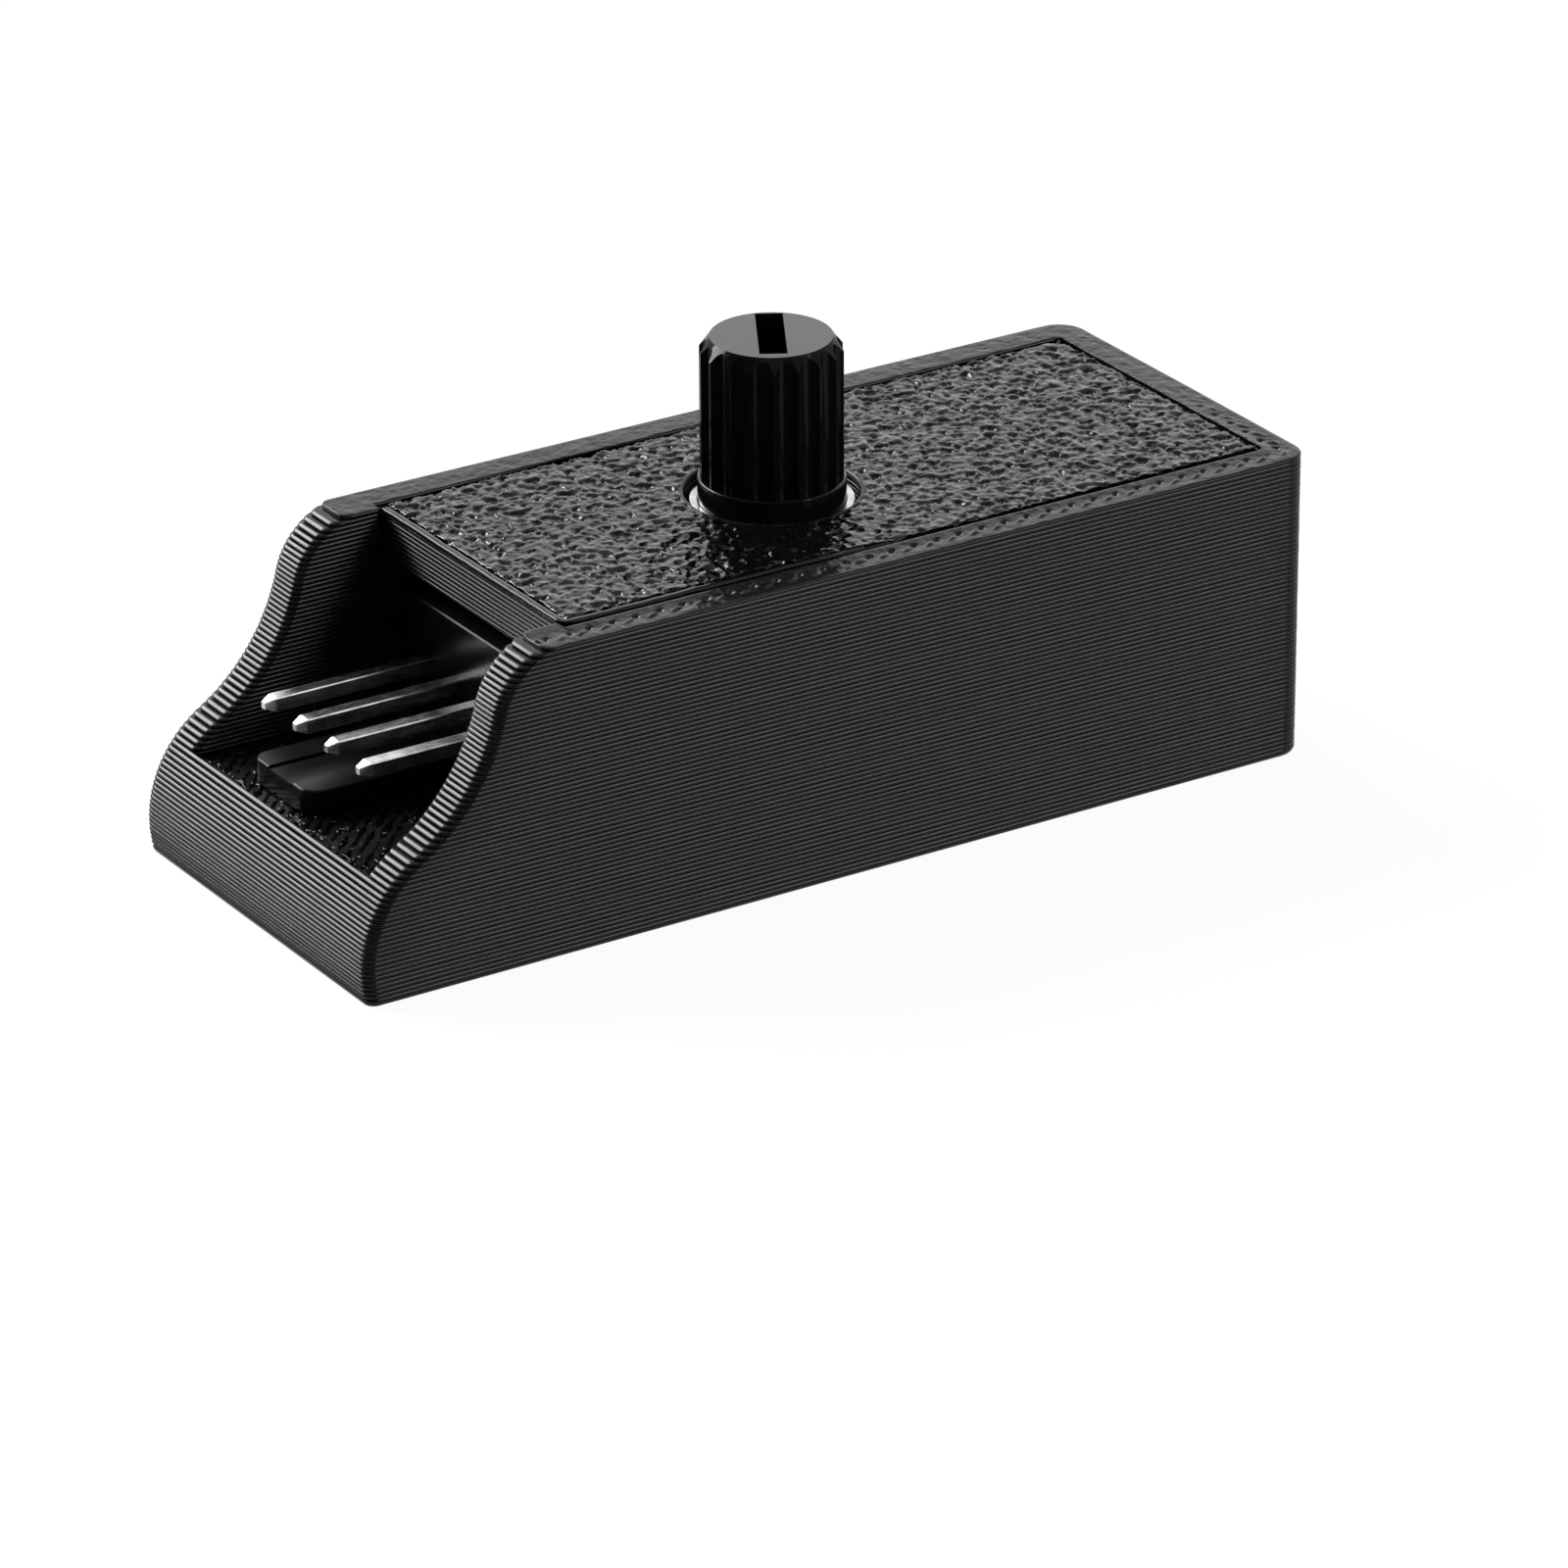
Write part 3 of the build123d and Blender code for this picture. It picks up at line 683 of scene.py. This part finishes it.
# the case's rim: its top layer, with the marks of the print
rimSizes = {
    "step": 0.075, "frontRound": 0.5, "frontStart": 0.12, "frontTrim": 0.8, "roundSteps": 8,
    "cornerSteps": 24, "topCells": 16,
    # the rim's cross-section: distance from the outer or the inner edge, and depth under the top
    "outerFace": [(0.06, 0.2), (0.02, 0.13), (0.0, 0.09), (0.012, 0.055), (0.045, 0.022), (0.1, 0.005),
                  (0.17, 0.0)],
    "innerFace": [(0.14, 0.0), (0.08, 0.006), (0.035, 0.025), (0.01, 0.055), (0.0, 0.1), (0.0, 0.2)],
    "dish": 0.055, "shoulder": 0.04, "shoulderWidth": 0.5, "rearEdge": 0.1,
    "farMarks": 0.1, "pitch": 1.1, "strokeTurn": math.radians(-24),
    "pitSize": 0.17, "pitDepth": 0.15, "pitPlace": 0.95, "pitLength": 1.4,
    "bumpSize": 0.13, "bumpHeight": 0.09, "bumpPlace": 0.68, "bumpLength": 3.4, "bumpShift": 0.5,
    "lumpSize": 0.55, "lumpDepth": 0.065, "grainSize": 0.2, "grainDepth": 0.04,
}


def pointAlong(points, share):
    spans = [(b - a).length for a, b in zip(points, points[1:])]
    left = share * sum(spans)
    for a, b, span in zip(points, points[1:], spans):
        if left <= span or b is points[-1]:
            return a.lerp(b, min(1.0, left / span))
        left -= span


def rimEdges():
    # pairs of points on the rim's outer and inner edge, from the near cheek round the rear to the far cheek
    c = caseSizes
    r = rimSizes
    side, rear, corner = caseHigh.y, caseHigh.x, c["seatCorner"]
    front = frontAt(topMiddle)
    pairs = []
    for k in range(r["roundSteps"] + 1):
        a = math.pi / 2 * (r["frontStart"] + (1 - r["frontStart"]) * k / r["roundSteps"])
        x = front + r["frontRound"] * (1 - math.cos(a))
        trim = r["frontRound"] * (1 - math.sin(a))
        pairs.append(((x, -side + trim), (x, -wallHalf - trim * r["frontTrim"])))
    x = pairs[-1][0][0] + r["step"]
    seatEnd = seatRear - corner
    while x < seatEnd:
        pairs.append(((x, -side), (x, -wallHalf if x < c["seatFront"] else -seatHalf)))
        x += r["step"]
    uncut = 2 * rear  # longer than any straight run here
    outer, inner = [
        roundedLoop([(seatEnd, y, 0), (end, y, radius), (end, 0, 0), (seatEnd, 0, 0)], uncut)
        for y, end, radius in ((-side, rear, c["rearCorner"]), (-seatHalf, seatRear, corner))]
    cornerEnd = -seatHalf + corner
    outer = [p for p in outer if p.y < cornerEnd and p.x >= seatEnd] + [Vector((rear, cornerEnd))]
    inner = [p for p in inner if p.y < cornerEnd + tiny and p.x >= seatEnd]
    for k in range(1, r["cornerSteps"] + 1):
        t = k / r["cornerSteps"]
        pairs.append((tuple(pointAlong(outer, t)), tuple(pointAlong(inner, t))))
    count = math.ceil(-cornerEnd / r["step"])
    for k in range(1, count + 1):
        y = cornerEnd * (1 - k / count)
        pairs.append(((rear, y), (seatRear, y)))
    return pairs + [((o[0], -o[1]), (i[0], -i[1])) for o, i in reversed(pairs[:-1])]


def rimBase():
    r = rimSizes
    verts = []
    values = {"along": [], "across": [], "skin": [], "marks": []}
    travelled = 0.0
    last = None
    pairs = rimEdges()
    for outerPoint, innerPoint in pairs:
        o = Vector(outerPoint)
        i = Vector(innerPoint)
        mid = (o + i) / 2
        travelled += (mid - last).length if last else 0.0
        last = mid
        width = (i - o).length
        inward = (i - o).normalized()
        # the inner edge is crisp along the rear, where a round one would catch the light
        crisp = 1 - (1 - r["rearEdge"]) * max(0.0, -inward.x)
        innerFace = [(e * crisp, depth) for e, depth in r["innerFace"]]
        first = r["outerFace"][-1][0]
        span = width - innerFace[0][0] - first
        near = min(1.0, max(0.0, -mid.y / seatHalf))
        shoulder = r["shoulder"] * near
        section = [(d, depth + shoulder) for d, depth in r["outerFace"]]
        for k in range(1, r["topCells"]):
            t = k / r["topCells"]
            slope = shoulder * max(0.0, 1 - span * t / r["shoulderWidth"]) ** 2
            section.append((first + span * t, r["dish"] * near * math.sin(math.pi * t) + slope))
        section += [(width - e, depth) for e, depth in innerFace]
        top = range(len(r["outerFace"]) - 1, len(section) - len(innerFace) + 1)
        for k, (distance, depth) in enumerate(section):
            p = o + inward * distance
            verts.append((p.x * mm, p.y * mm, (caseHigh.z - depth) * mm))
            values["along"].append(travelled)
            values["across"].append(distance)
            values["skin"].append(1.0 if k in top else 0.0)
            values["marks"].append(r["farMarks"] + (1 - r["farMarks"]) * near)
    count = len(verts) // len(pairs)
    faces = []
    for k in range(len(pairs) - 1):
        a, b = k * count, (k + 1) * count
        for j in range(count):
            n = (j + 1) % count
            faces.append((a + j, b + j, b + n, a + n))
    faces.append(tuple(range(count)))
    faces.append(tuple(reversed(range(len(verts) - count, len(verts)))))
    mesh = closedMesh("rimBase", verts, faces)
    for label in values:
        storeValues(mesh, label, values[label])
    return mesh


def makeRimTree():
    lengths = ["Pit Depth", "Bump Height", "Lump Size", "Lump Depth", "Grain Size", "Grain Depth"]
    # these measure the along and across values, which are in millimetres themselves
    plain = ["Pitch", "Pit Size", "Pit Place", "Pit Length", "Bump Size", "Bump Place", "Bump Length",
             "Bump Shift", "Stroke Turn"]
    tree, start = newTree("rimSkin", lengths, plain)
    along, across, skin, marks = [attribute(tree, label) for label in ("along", "across", "skin", "marks")]

    def strokes(shift, where, size, length):
        # 1 along evenly spaced slanted strokes on the rim, falling to 0 at a distance of size
        turns = maths(tree, "FRACT", maths(tree, "DIVIDE", plus(tree, along, shift), start["Pitch"]))
        step = times(tree, minus(tree, turns, 0.5), start["Pitch"])
        offset = vector(tree, step, minus(tree, across, where))
        turned = made(tree, "ShaderNodeVectorRotate", {"Vector": offset, "Angle": start["Stroke Turn"]},
                      rotation_type="Z_AXIS")
        short = vectors(tree, "DIVIDE", turned, vector(tree, length, 1.0, 1.0))
        gap = put(tree, "ShaderNodeVectorMath", {0: short}, operation="LENGTH").outputs["Value"]
        return eased(tree, gap, size, 0.0)

    def lumps(label):
        height = minus(tree, lumpy(tree, start[label + " Size"]), 0.5)
        return times(tree, height, start[label + " Depth"])

    dot = strokes(0.0, start["Pit Place"], start["Pit Size"], start["Pit Length"])
    ridge = strokes(start["Bump Shift"], start["Bump Place"], start["Bump Size"], start["Bump Length"])
    sunk = times(tree, dot, start["Pit Depth"])
    raised = minus(tree, times(tree, ridge, start["Bump Height"]), sunk)
    height = plus(tree, times(tree, raised, marks), plus(tree, lumps("Lump"), lumps("Grain")))
    marked = moved(tree, start["Geometry"], vector(tree, z=times(tree, height, skin)))
    return closeTree(tree, softened(tree, marked), start["Material"])


rimSkin = growMesh("rimSkin", rimBase(), makeRimTree(), rimSizes, printedBlack)
addPiece("rimSkin", rimSkin, "case", "printed_black")


# rough top of the shelf under the pins
shelfSizes = {
    "width": 0.5, "height": 0.16, "step": 0.3, "wobble": 0.05, "wobbleLength": 0.4, "sides": 8,
    "roundness": 1.0, "spacing": 0.46, "top": 4.435, "margin": 0.12, "shortest": 0.6,
}
hairSizes = {
    "width": 0.05, "height": 0.045, "step": 0.07, "wobble": 0.05, "wobbleLength": 0.2, "sides": 5,
    "roundness": 1.0, "count": 170, "points": 4, "reach": 0.22, "back": 0.5, "onward": 0.6, "lift": 0.03,
    "rise": 0.09, "frontGap": 0.1, "rearGap": 0.7, "sideGap": 0.3, "crowding": 2.2, "seed": 5,
}


def shelfStrands():
    s = shelfSizes
    h = hairSizes
    x0 = caseLow.x + caseSizes["noseWall"] + s["margin"]
    x1 = caseSizes["wellFront"] - s["margin"]
    half = wallHalf - s["margin"]
    lines = []
    offset = x0 - half
    while offset < x1 + half:
        # a line at 45 degrees, cut to the shelf
        low = max(-half, x0 - offset)
        high = min(half, x1 - offset)
        if high - low > s["shortest"]:
            lines.append(([(offset + low, low, s["top"]), (offset + high, high, s["top"])], False))
        offset += s["spacing"] * math.sqrt(2)
    # loose hairs of plastic, most of them close behind the lip
    chance = random.Random(h["seed"])
    z = caseSizes["shelfTop"] + h["lift"]
    run = x1 - x0 - h["frontGap"] - h["rearGap"]
    hairs = []
    for hair in range(h["count"]):
        x = x0 + h["frontGap"] + run * chance.random() ** h["crowding"]
        y = chance.uniform(-half + h["sideGap"], half - h["sideGap"])
        points = []
        for point in range(h["points"]):
            points.append((x, y, z + chance.uniform(0.0, h["rise"])))
            x += chance.uniform(-h["back"], h["onward"]) * h["reach"]
            y += chance.uniform(-1.0, 1.0) * h["reach"]
        hairs.append((points, False))
    # the shelf's lines carry the painted shade of the recess; the hairs keep a plain printed finish
    return layStrands("shelfLines", lines, s, shelfBlack), layStrands("shelfHairs", hairs, h, hairBlack)


shelfLines, shelfHairs = shelfStrands()
addPiece("shelfStrands", shelfLines, "case", "printed_black")
addPiece("shelfHairs", shelfHairs, "case", "printed_black")


# printed lid: layered edge, a strand along its front edge and a pitted top
lidLow, lidHigh = [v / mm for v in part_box("lid")]
shaftLow, shaftHigh = [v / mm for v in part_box("pot_shaft")]
dialX = (shaftLow.x + shaftHigh.x) / 2
lidSizes = {
    "corner": 0.4, "holeRadius": 3.64, "holePoints": 64, "firstLayer": 100,
    "skinLow": 13.26, "skinTop": 13.46, "skinMargin": 0.04, "frontMargin": 0.46, "nearMargin": 0.22,
    "strandMargin": 0.6, "holeMargin": 0.13, "cell": 0.085,
    "pitDepth": 0.1, "pitSize": 0.46, "pitStart": 0.48, "pitFull": 0.7,
    "lumpSize": 0.45, "lumpDepth": 0.22, "waveSize": 0.2, "waveDepth": 0.055,
}
lidStrandSizes = {
    "width": 0.36, "height": 0.24, "step": 0.2, "wobble": 0.045, "wobbleLength": 0.8, "sides": 16,
    "roundness": 0.5, "z": 13.35, "endZ": 13.27, "inset": 0.18, "nearInset": 0.36, "end": 0.3, "reach": 16.0,
    "taper": 5.0, "bend": 0.3, "bendSteps": 6,
}
holeRingSizes = {
    "width": 0.26, "height": 0.28, "step": 0.2, "wobble": 0.01, "wobbleLength": 0.8, "sides": 10,
    "roundness": 1.0, "z": 13.34, "inset": 0.13,
}


def lidHole(inset=0.0):
    count = lidSizes["holePoints"]
    radius = lidSizes["holeRadius"] + inset
    turns = [-2 * math.pi * k / count for k in range(count)]
    return [Vector((dialX + radius * math.cos(a), radius * math.sin(a))) for a in turns]


def lidLayers():
    c = caseSizes
    corner = lidSizes["corner"]
    nearCorners = [(lidLow.x, lidLow.y, corner), (lidHigh.x, lidLow.y, corner)]
    farCorners = [(lidHigh.x, lidHigh.y, corner), (lidLow.x, lidHigh.y, corner)]
    loops = [roundedLoop(nearCorners + farCorners, c["pointStep"]), lidHole()]
    stack = LayerStack()
    low = lidLow.z
    layer = lidSizes["firstLayer"]
    while low < lidHigh.z - 1.5 * c["layerHeight"]:  # the skin is the top layer
        high = low + c["layerHeight"]
        under = c["overlap"] if low > lidLow.z else 0.0
        stack.addSlab(loops, low - under, high + c["overlap"], layer)
        low = high
        layer += 1
    return growMesh("lidLayers", stack.mesh("lidLayers"), layerBeads, c, edgeBlack)


def lidSkinBase():
    # a flat closed plate with a fine grid on top, clear of the front strand and of the hole
    s = lidSizes
    x0, x1 = lidLow.x + s["frontMargin"], lidHigh.x - s["skinMargin"]
    y0, y1 = lidLow.y + s["skinMargin"], lidHigh.y - s["skinMargin"]
    nx = math.ceil((x1 - x0) / s["cell"])
    ny = math.ceil((y1 - y0) / s["cell"])
    clear = s["holeRadius"] + s["holeMargin"]
    place = {}
    verts = []
    faces = []
    bottom = []

    def corner(i, j, z):
        key = (i, j, z)
        if key not in place:
            place[key] = len(verts)
            verts.append(((x0 + (x1 - x0) * i / nx) * mm, (y0 + (y1 - y0) * j / ny) * mm, s[z] * mm))
        return place[key]

    def kept(i, j):
        if not (0 <= i < nx and 0 <= j < ny):
            return False
        x = x0 + (x1 - x0) * (i + 0.5) / nx
        y = y0 + (y1 - y0) * (j + 0.5) / ny
        beside = (lidLow.x + lidStrandSizes["reach"] - x) / lidStrandSizes["taper"]
        margin = s["nearMargin"] + (s["strandMargin"] - s["nearMargin"]) * min(1.0, max(0.0, beside))
        return y > lidLow.y + margin and (x - dialX) ** 2 + y * y > clear * clear

    for i in range(nx):
        for j in range(ny):
            if not kept(i, j):
                continue
            around = [(i, j), (i + 1, j), (i + 1, j + 1), (i, j + 1)]
            faces.append(tuple(corner(*a, "skinTop") for a in around))
            beyond = [(i, j - 1), (i + 1, j), (i, j + 1), (i - 1, j)]
            for cell, a, b in zip(beyond, around, around[1:] + around[:1]):
                if not kept(*cell):
                    ends = (corner(*a, "skinTop"), corner(*b, "skinTop"))
                    low = (corner(*a, "skinLow"), corner(*b, "skinLow"))
                    faces.append((ends[1], ends[0], low[0], low[1]))
                    bottom.append(low)
    mesh = closedMesh("lidSkinBase", verts, faces, bottom)
    storeValues(mesh, "onTop", [1.0 if v.co.z > (s["skinTop"] - tiny) * mm else 0.0 for v in mesh.vertices])
    return mesh


def makePitTree():
    lengths = ["Pit Size", "Pit Depth", "Lump Size", "Lump Depth", "Wave Size", "Wave Depth"]
    tree, start = newTree("pittedSkin", lengths, ["Pit Start", "Pit Full"])
    onTop = attribute(tree, "onTop")
    pit = eased(tree, lumpy(tree, start["Pit Size"], 1.0, 0.5), start["Pit Start"], start["Pit Full"])
    lump = minus(tree, lumpy(tree, start["Lump Size"], 2.0, 0.3), 0.5)
    wave = minus(tree, lumpy(tree, start["Wave Size"]), 0.5)
    height = plus(tree, times(tree, lump, start["Lump Depth"]), times(tree, wave, start["Wave Depth"]))
    height = minus(tree, height, times(tree, pit, start["Pit Depth"]))
    pitted = moved(tree, start["Geometry"], vector(tree, z=times(tree, height, onTop)))
    # the walls stay flat, or the top's edge would shine
    topFaces = maths(tree, "GREATER_THAN", onTop, 0.9)
    return closeTree(tree, softened(tree, pitted, topFaces), start["Material"])


def lidStrand():
    # the lid's first strand shows along its front edge and sinks away along its near edge
    s = lidStrandSizes
    x = lidLow.x + s["inset"]
    y = lidLow.y + s["nearInset"]
    bend = s["bend"]
    end = lidLow.x + s["reach"]
    points = [(x, lidHigh.y - s["end"], s["z"])]
    for k in range(s["bendSteps"] + 1):
        a = math.pi / 2 * k / s["bendSteps"]
        points.append((x + bend * (1 - math.cos(a)), y + bend * (1 - math.sin(a)), s["z"]))
    points += [(end - s["taper"], y, s["z"]), (end, y, s["endZ"])]
    return layStrands("frontStrand", [(points, False)], s, strandBlack)


def printedLid():
    # the layers and the ring round the hole
    ring = [(p.x, p.y, holeRingSizes["z"]) for p in lidHole(holeRingSizes["inset"])]
    joined = bmesh.new()
    joined.from_mesh(lidLayers())
    joined.from_mesh(layStrands("holeRing", [(ring, True)], holeRingSizes, edgeBlack))
    result = bpy.data.meshes.new("printedLid")
    joined.to_mesh(result)
    joined.free()
    result.materials.append(edgeBlack)
    return result


lidSkin = growMesh("lidSkin", lidSkinBase(), makePitTree(), lidSizes, lidBlack)
addPiece("printedLid", printedLid(), "case", "printed_black", "lid")
addPiece("lidStrand", lidStrand(), "case", "printed_black")
addPiece("lidSkin", lidSkin, "case", "printed_black")


# fan pins: one rounded square pin, set out in a row
pinSizes = {
    "bevel": 0.045, "bevelMost": 0.3, "tipSize": 0.3, "shoulderStart": 0.414, "shoulderSize": 0.96,
    "shoulderEnd": 0.495, "bendRadius": 0.5, "bendSteps": 6, "pitch": 2.54, "count": 4,
}


def pinMesh():
    s = pinSizes
    low, high = [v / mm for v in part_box("output_pin_1")]
    half = (high.y - low.y) / 2
    y = (low.y + high.y) / 2
    z = high.z - half
    dropX = high.x - half
    across = Vector((0, 1, 0))
    rings = []

    def ring(centre, forward, size):
        up = across.cross(forward).normalized()
        r = size - min(s["bevel"], size * s["bevelMost"])
        section = [(size, -r), (size, r), (r, size), (-r, size)]
        section += [(-a, -b) for a, b in section]
        rings.append([centre + across * a + up * b for a, b in section])

    tip = [(0.0, s["tipSize"] / 2), (s["shoulderStart"], half * s["shoulderSize"]), (s["shoulderEnd"], half)]
    for distance, size in tip:
        ring(Vector((low.x + distance, y, z)), Vector((1, 0, 0)), size)
    bend = s["bendRadius"]
    for k in range(s["bendSteps"] + 1):
        a = math.pi / 2 * k / s["bendSteps"]
        centre = Vector((dropX - bend + bend * math.sin(a), y, z - bend + bend * math.cos(a)))
        ring(centre, Vector((math.cos(a), 0, -math.sin(a))), half)
    ring(Vector((dropX, y, low.z)), Vector((0, 0, -1)), half)
    count = len(rings[0])
    verts = [p * mm for points in rings for p in points]
    faces = []
    for first in range(0, len(verts) - count, count):
        for k in range(count):
            j = (k + 1) % count
            faces.append((first + k, first + j, first + count + j, first + count + k))
    faces += [tuple(range(count)), tuple(reversed(range(len(verts) - count, len(verts))))]
    return closedMesh("fanPin", verts, faces)


def makeRowTree():
    tree, start = newTree("pinRow", ["Pitch"], wholes=["Count"])
    step = vector(tree, y=start["Pitch"])
    row = made(tree, "GeometryNodeMeshLine", {"Count": start["Count"], "Offset": step}, mode="OFFSET")
    many = made(tree, "GeometryNodeInstanceOnPoints", {"Points": row, "Instance": start["Geometry"]})
    return closeTree(tree, many, start["Material"])


# a metal: colour, stain, grain scale, roughness, relief
tinPlate = metalMaterial("tinPlate", (0.72, 0.72, 0.71), (0.5, 0.5, 0.49), 1500, (0.16, 0.26), 0.02)
fanPins = growMesh("fanPins", pinMesh(), makeRowTree(), pinSizes, tinPlate)
addPiece("fanPins", fanPins, "case", "tin_plate",
         "output_pin_1", "output_pin_2", "output_pin_3", "output_pin_4")


# finishes of the CAD nodes that stay; a plain colour has its dark, grain scale and roughness
nodeFinishes = [
    (twoFaceMaterial("shaftBlack", 6000, (0.0015, 0.003), 0.05, (0.11, 0.065), (0.2, 0.39)), ["pot_shaft"]),
    (twoFaceMaterial("headerBlack", 7000, (0.001, 0.003), 0.3, (0.2, 0.04), (0.28, 0.5)),
     ["output_header", "input_socket", "pot_case", "supply_capacitor_base"]),
    (plasticMaterial("chipBlack", 8000, (0.012, 0.022), (0.45, 0.6), 0.4, 0.4),
     ["timer_chip", "regulator", "diode"]),
    (metalMaterial("nickelSteel", (0.42, 0.42, 0.41), (0.3, 0.3, 0.29), 1200, (0.1, 0.2), 0.1),
     ["pot_cover"]),
    (metalMaterial("springBronze", (0.72, 0.49, 0.26), (0.5, 0.32, 0.16), 1500, (0.25, 0.4), 0.2),
     ["pot_wiper"] + [f"input_contact_{i}" for i in range(1, 5)]),
    (metalMaterial("canAluminium", (0.8, 0.8, 0.81), (0.62, 0.62, 0.63), 900, (0.25, 0.4), 0.15),
     ["supply_capacitor_can"]),
    (metalMaterial("solderGrey", (0.66, 0.66, 0.65), (0.42, 0.42, 0.42), 2200, (0.2, 0.45), 0.4),
     ["solder_joints"]),
    (tinPlate, ["timer_chip_leads", "regulator_leads"] + [f"pot_terminal_{i}" for i in range(1, 4)]),
    (colourMaterial("boardBlack", (0.012, 0.013, 0.012), (0.004, 0.005, 0.004), 900, (0.3, 0.45)),
     ["circuit_board"]),
    (colourMaterial("trackBrown", (0.18, 0.11, 0.06), (0.1, 0.06, 0.03), 2000, (0.5, 0.7)), ["pot_track"]),
    (colourMaterial("chipCeramic", (0.05, 0.05, 0.055), (0.02, 0.02, 0.024), 3000, (0.35, 0.55)),
     ["resistors"]),
    (colourMaterial("capacitorTan", (0.45, 0.32, 0.18), (0.3, 0.2, 0.1), 3000, (0.35, 0.5)),
     ["ceramic_capacitors"]),
]
for finish, nodes in nodeFinishes:
    for node in nodes:
        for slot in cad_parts[node].material_slots:
            slot.material = finish
print("node finishes set")


# camera, fitted to the photograph's edges
cameraSizes = {
    "focalPixels": 8642.03, "imagePixels": 1600, "sensor": 36.0, "clipStart": 0.01, "clipEnd": 20.0,
    "location": (-170.49, -271.28, 147.03),
    "right": (0.84219, -0.53917, -0.00378), "up": (0.22697, 0.34815, 0.90954),
    "back": (-0.48909, -0.76687, 0.41558),
}


def makeCamera():
    c = cameraSizes
    data = bpy.data.cameras.new("camera")
    data.sensor_width = c["sensor"]
    data.lens = c["focalPixels"] / c["imagePixels"] * c["sensor"]
    data.clip_start = c["clipStart"]
    data.clip_end = c["clipEnd"]
    camera = addObject("camera", data)
    axes = Matrix((c["right"], c["up"], c["back"])).transposed()
    camera.matrix_world = Matrix.Translation(Vector(c["location"]) * mm) @ axes.to_4x4()
    scene.camera = camera


# a pale floor and world, seen white by the camera and in reflections; sizes in metres
stageSizes = {"floorHalf": 6.0, "floorZ": -0.00005, "floorShade": 0.82, "floorRough": 0.9, "whiteShare": 0.93,
              "world": 0.5}


def plainMaterial(name, shade, rough=0.5):
    material, tree, shader = newMaterial(name)
    shader.inputs["Base Color"].default_value = (shade, shade, shade, 1)
    shader.inputs["Roughness"].default_value = rough
    shader.inputs["Specular IOR Level"].default_value = 0.0
    return material


def addStage(name, verts, faces, material):
    mesh = bpy.data.meshes.new(name)
    mesh.from_pydata(verts, [], faces)
    mesh.materials.append(material)
    thing = addObject(name, mesh)
    return thing


def seenWhite(tree):
    rays = put(tree, "ShaderNodeLightPath").outputs
    seen = maths(tree, "MAXIMUM", rays["Is Camera Ray"], rays["Is Glossy Ray"])
    return maths(tree, "MAXIMUM", seen, rays["Is Transmission Ray"])


def makeFloor():
    s = stageSizes
    material = plainMaterial("paleFloor", s["floorShade"], s["floorRough"])
    tree = material.node_tree
    white = put(tree, "ShaderNodeEmission", {"Color": (1, 1, 1, 1), "Strength": 1.0})
    mix = put(tree, "ShaderNodeMixShader", {0: times(tree, seenWhite(tree), s["whiteShare"]),
                                            1: tree.nodes["Principled BSDF"].outputs[0], 2: white.outputs[0]})
    tree.links.new(mix.outputs[0], tree.nodes["Material Output"].inputs["Surface"])
    half, z = s["floorHalf"], s["floorZ"]
    corners = [(-half, -half, z), (half, -half, z), (half, half, z), (-half, half, z)]
    addStage("floor", corners, [(0, 1, 2, 3)], material)


def makeWorld():
    world = bpy.data.worlds.new("studio")
    world.use_nodes = True
    scene.world = world
    tree = world.node_tree
    backdrop = tree.nodes["Background"]
    backdrop.inputs["Color"].default_value = (1, 1, 1, 1)
    strength = remap(tree, seenWhite(tree), 0.0, 1.0, stageSizes["world"], 1.0)
    tree.links.new(strength, backdrop.inputs["Strength"])


# lamps: azimuth and elevation in degrees, distance and size in metres, brightness of the face
lampSizes = {
    "noseBox": {"azimuth": 112, "elevation": 32, "distance": 1.0, "size": (0.8, 0.5), "brightness": 23.0},
    "sideBox": {"azimuth": -57, "elevation": 27, "distance": 1.0, "size": (0.5, 0.5), "brightness": 7.8},
    "backBox": {"azimuth": 57, "elevation": 20, "distance": 1.2, "size": (1.0, 0.8), "brightness": 0.82},
}


def makeLamps():
    target = (cadLow + cadHigh) / 2
    for name, s in lampSizes.items():
        a = math.radians(s["azimuth"])
        e = math.radians(s["elevation"])
        away = Vector((math.cos(a) * math.cos(e), math.sin(a) * math.cos(e), math.sin(e)))
        data = bpy.data.lights.new(name, "AREA")
        data.shape = "RECTANGLE"
        data.size, data.size_y = s["size"]
        data.energy = s["brightness"] * math.pi * s["size"][0] * s["size"][1]
        lamp = addObject(name, data)
        lamp.location = target + away * s["distance"]
        lamp.rotation_euler = away.to_track_quat("Z", "Y").to_euler()
        lamp.visible_camera = False


# a dark screen behind the camera and on the floor before it, which only reflections see; metres and degrees
flagSizes = {"radius": 0.7, "height": 0.9, "innerRadius": 0.03, "clear": 0.0002, "from": 150, "to": 285,
             "steps": 24, "shade": 0.01}


def makeFlag():
    s = flagSizes
    profile = [(s["innerRadius"], s["clear"]), (s["radius"], s["clear"]), (s["radius"], s["height"])]
    verts = []
    for k in range(s["steps"] + 1):
        a = math.radians(s["from"] + (s["to"] - s["from"]) * k / s["steps"])
        verts += [(radius * math.cos(a), radius * math.sin(a), z) for radius, z in profile]
    faces = []
    for first in range(0, len(profile) * s["steps"], len(profile)):
        faces += [(first, first + 1, first + 4, first + 3), (first + 1, first + 2, first + 5, first + 4)]
    flag = addStage("flag", verts, faces, plainMaterial("flagBlack", s["shade"]))
    flag.visible_camera = False
    flag.visible_diffuse = False
    flag.visible_shadow = False


makeCamera()
makeFloor()
makeWorld()
makeLamps()
makeFlag()
print("camera, floor and lamps set")
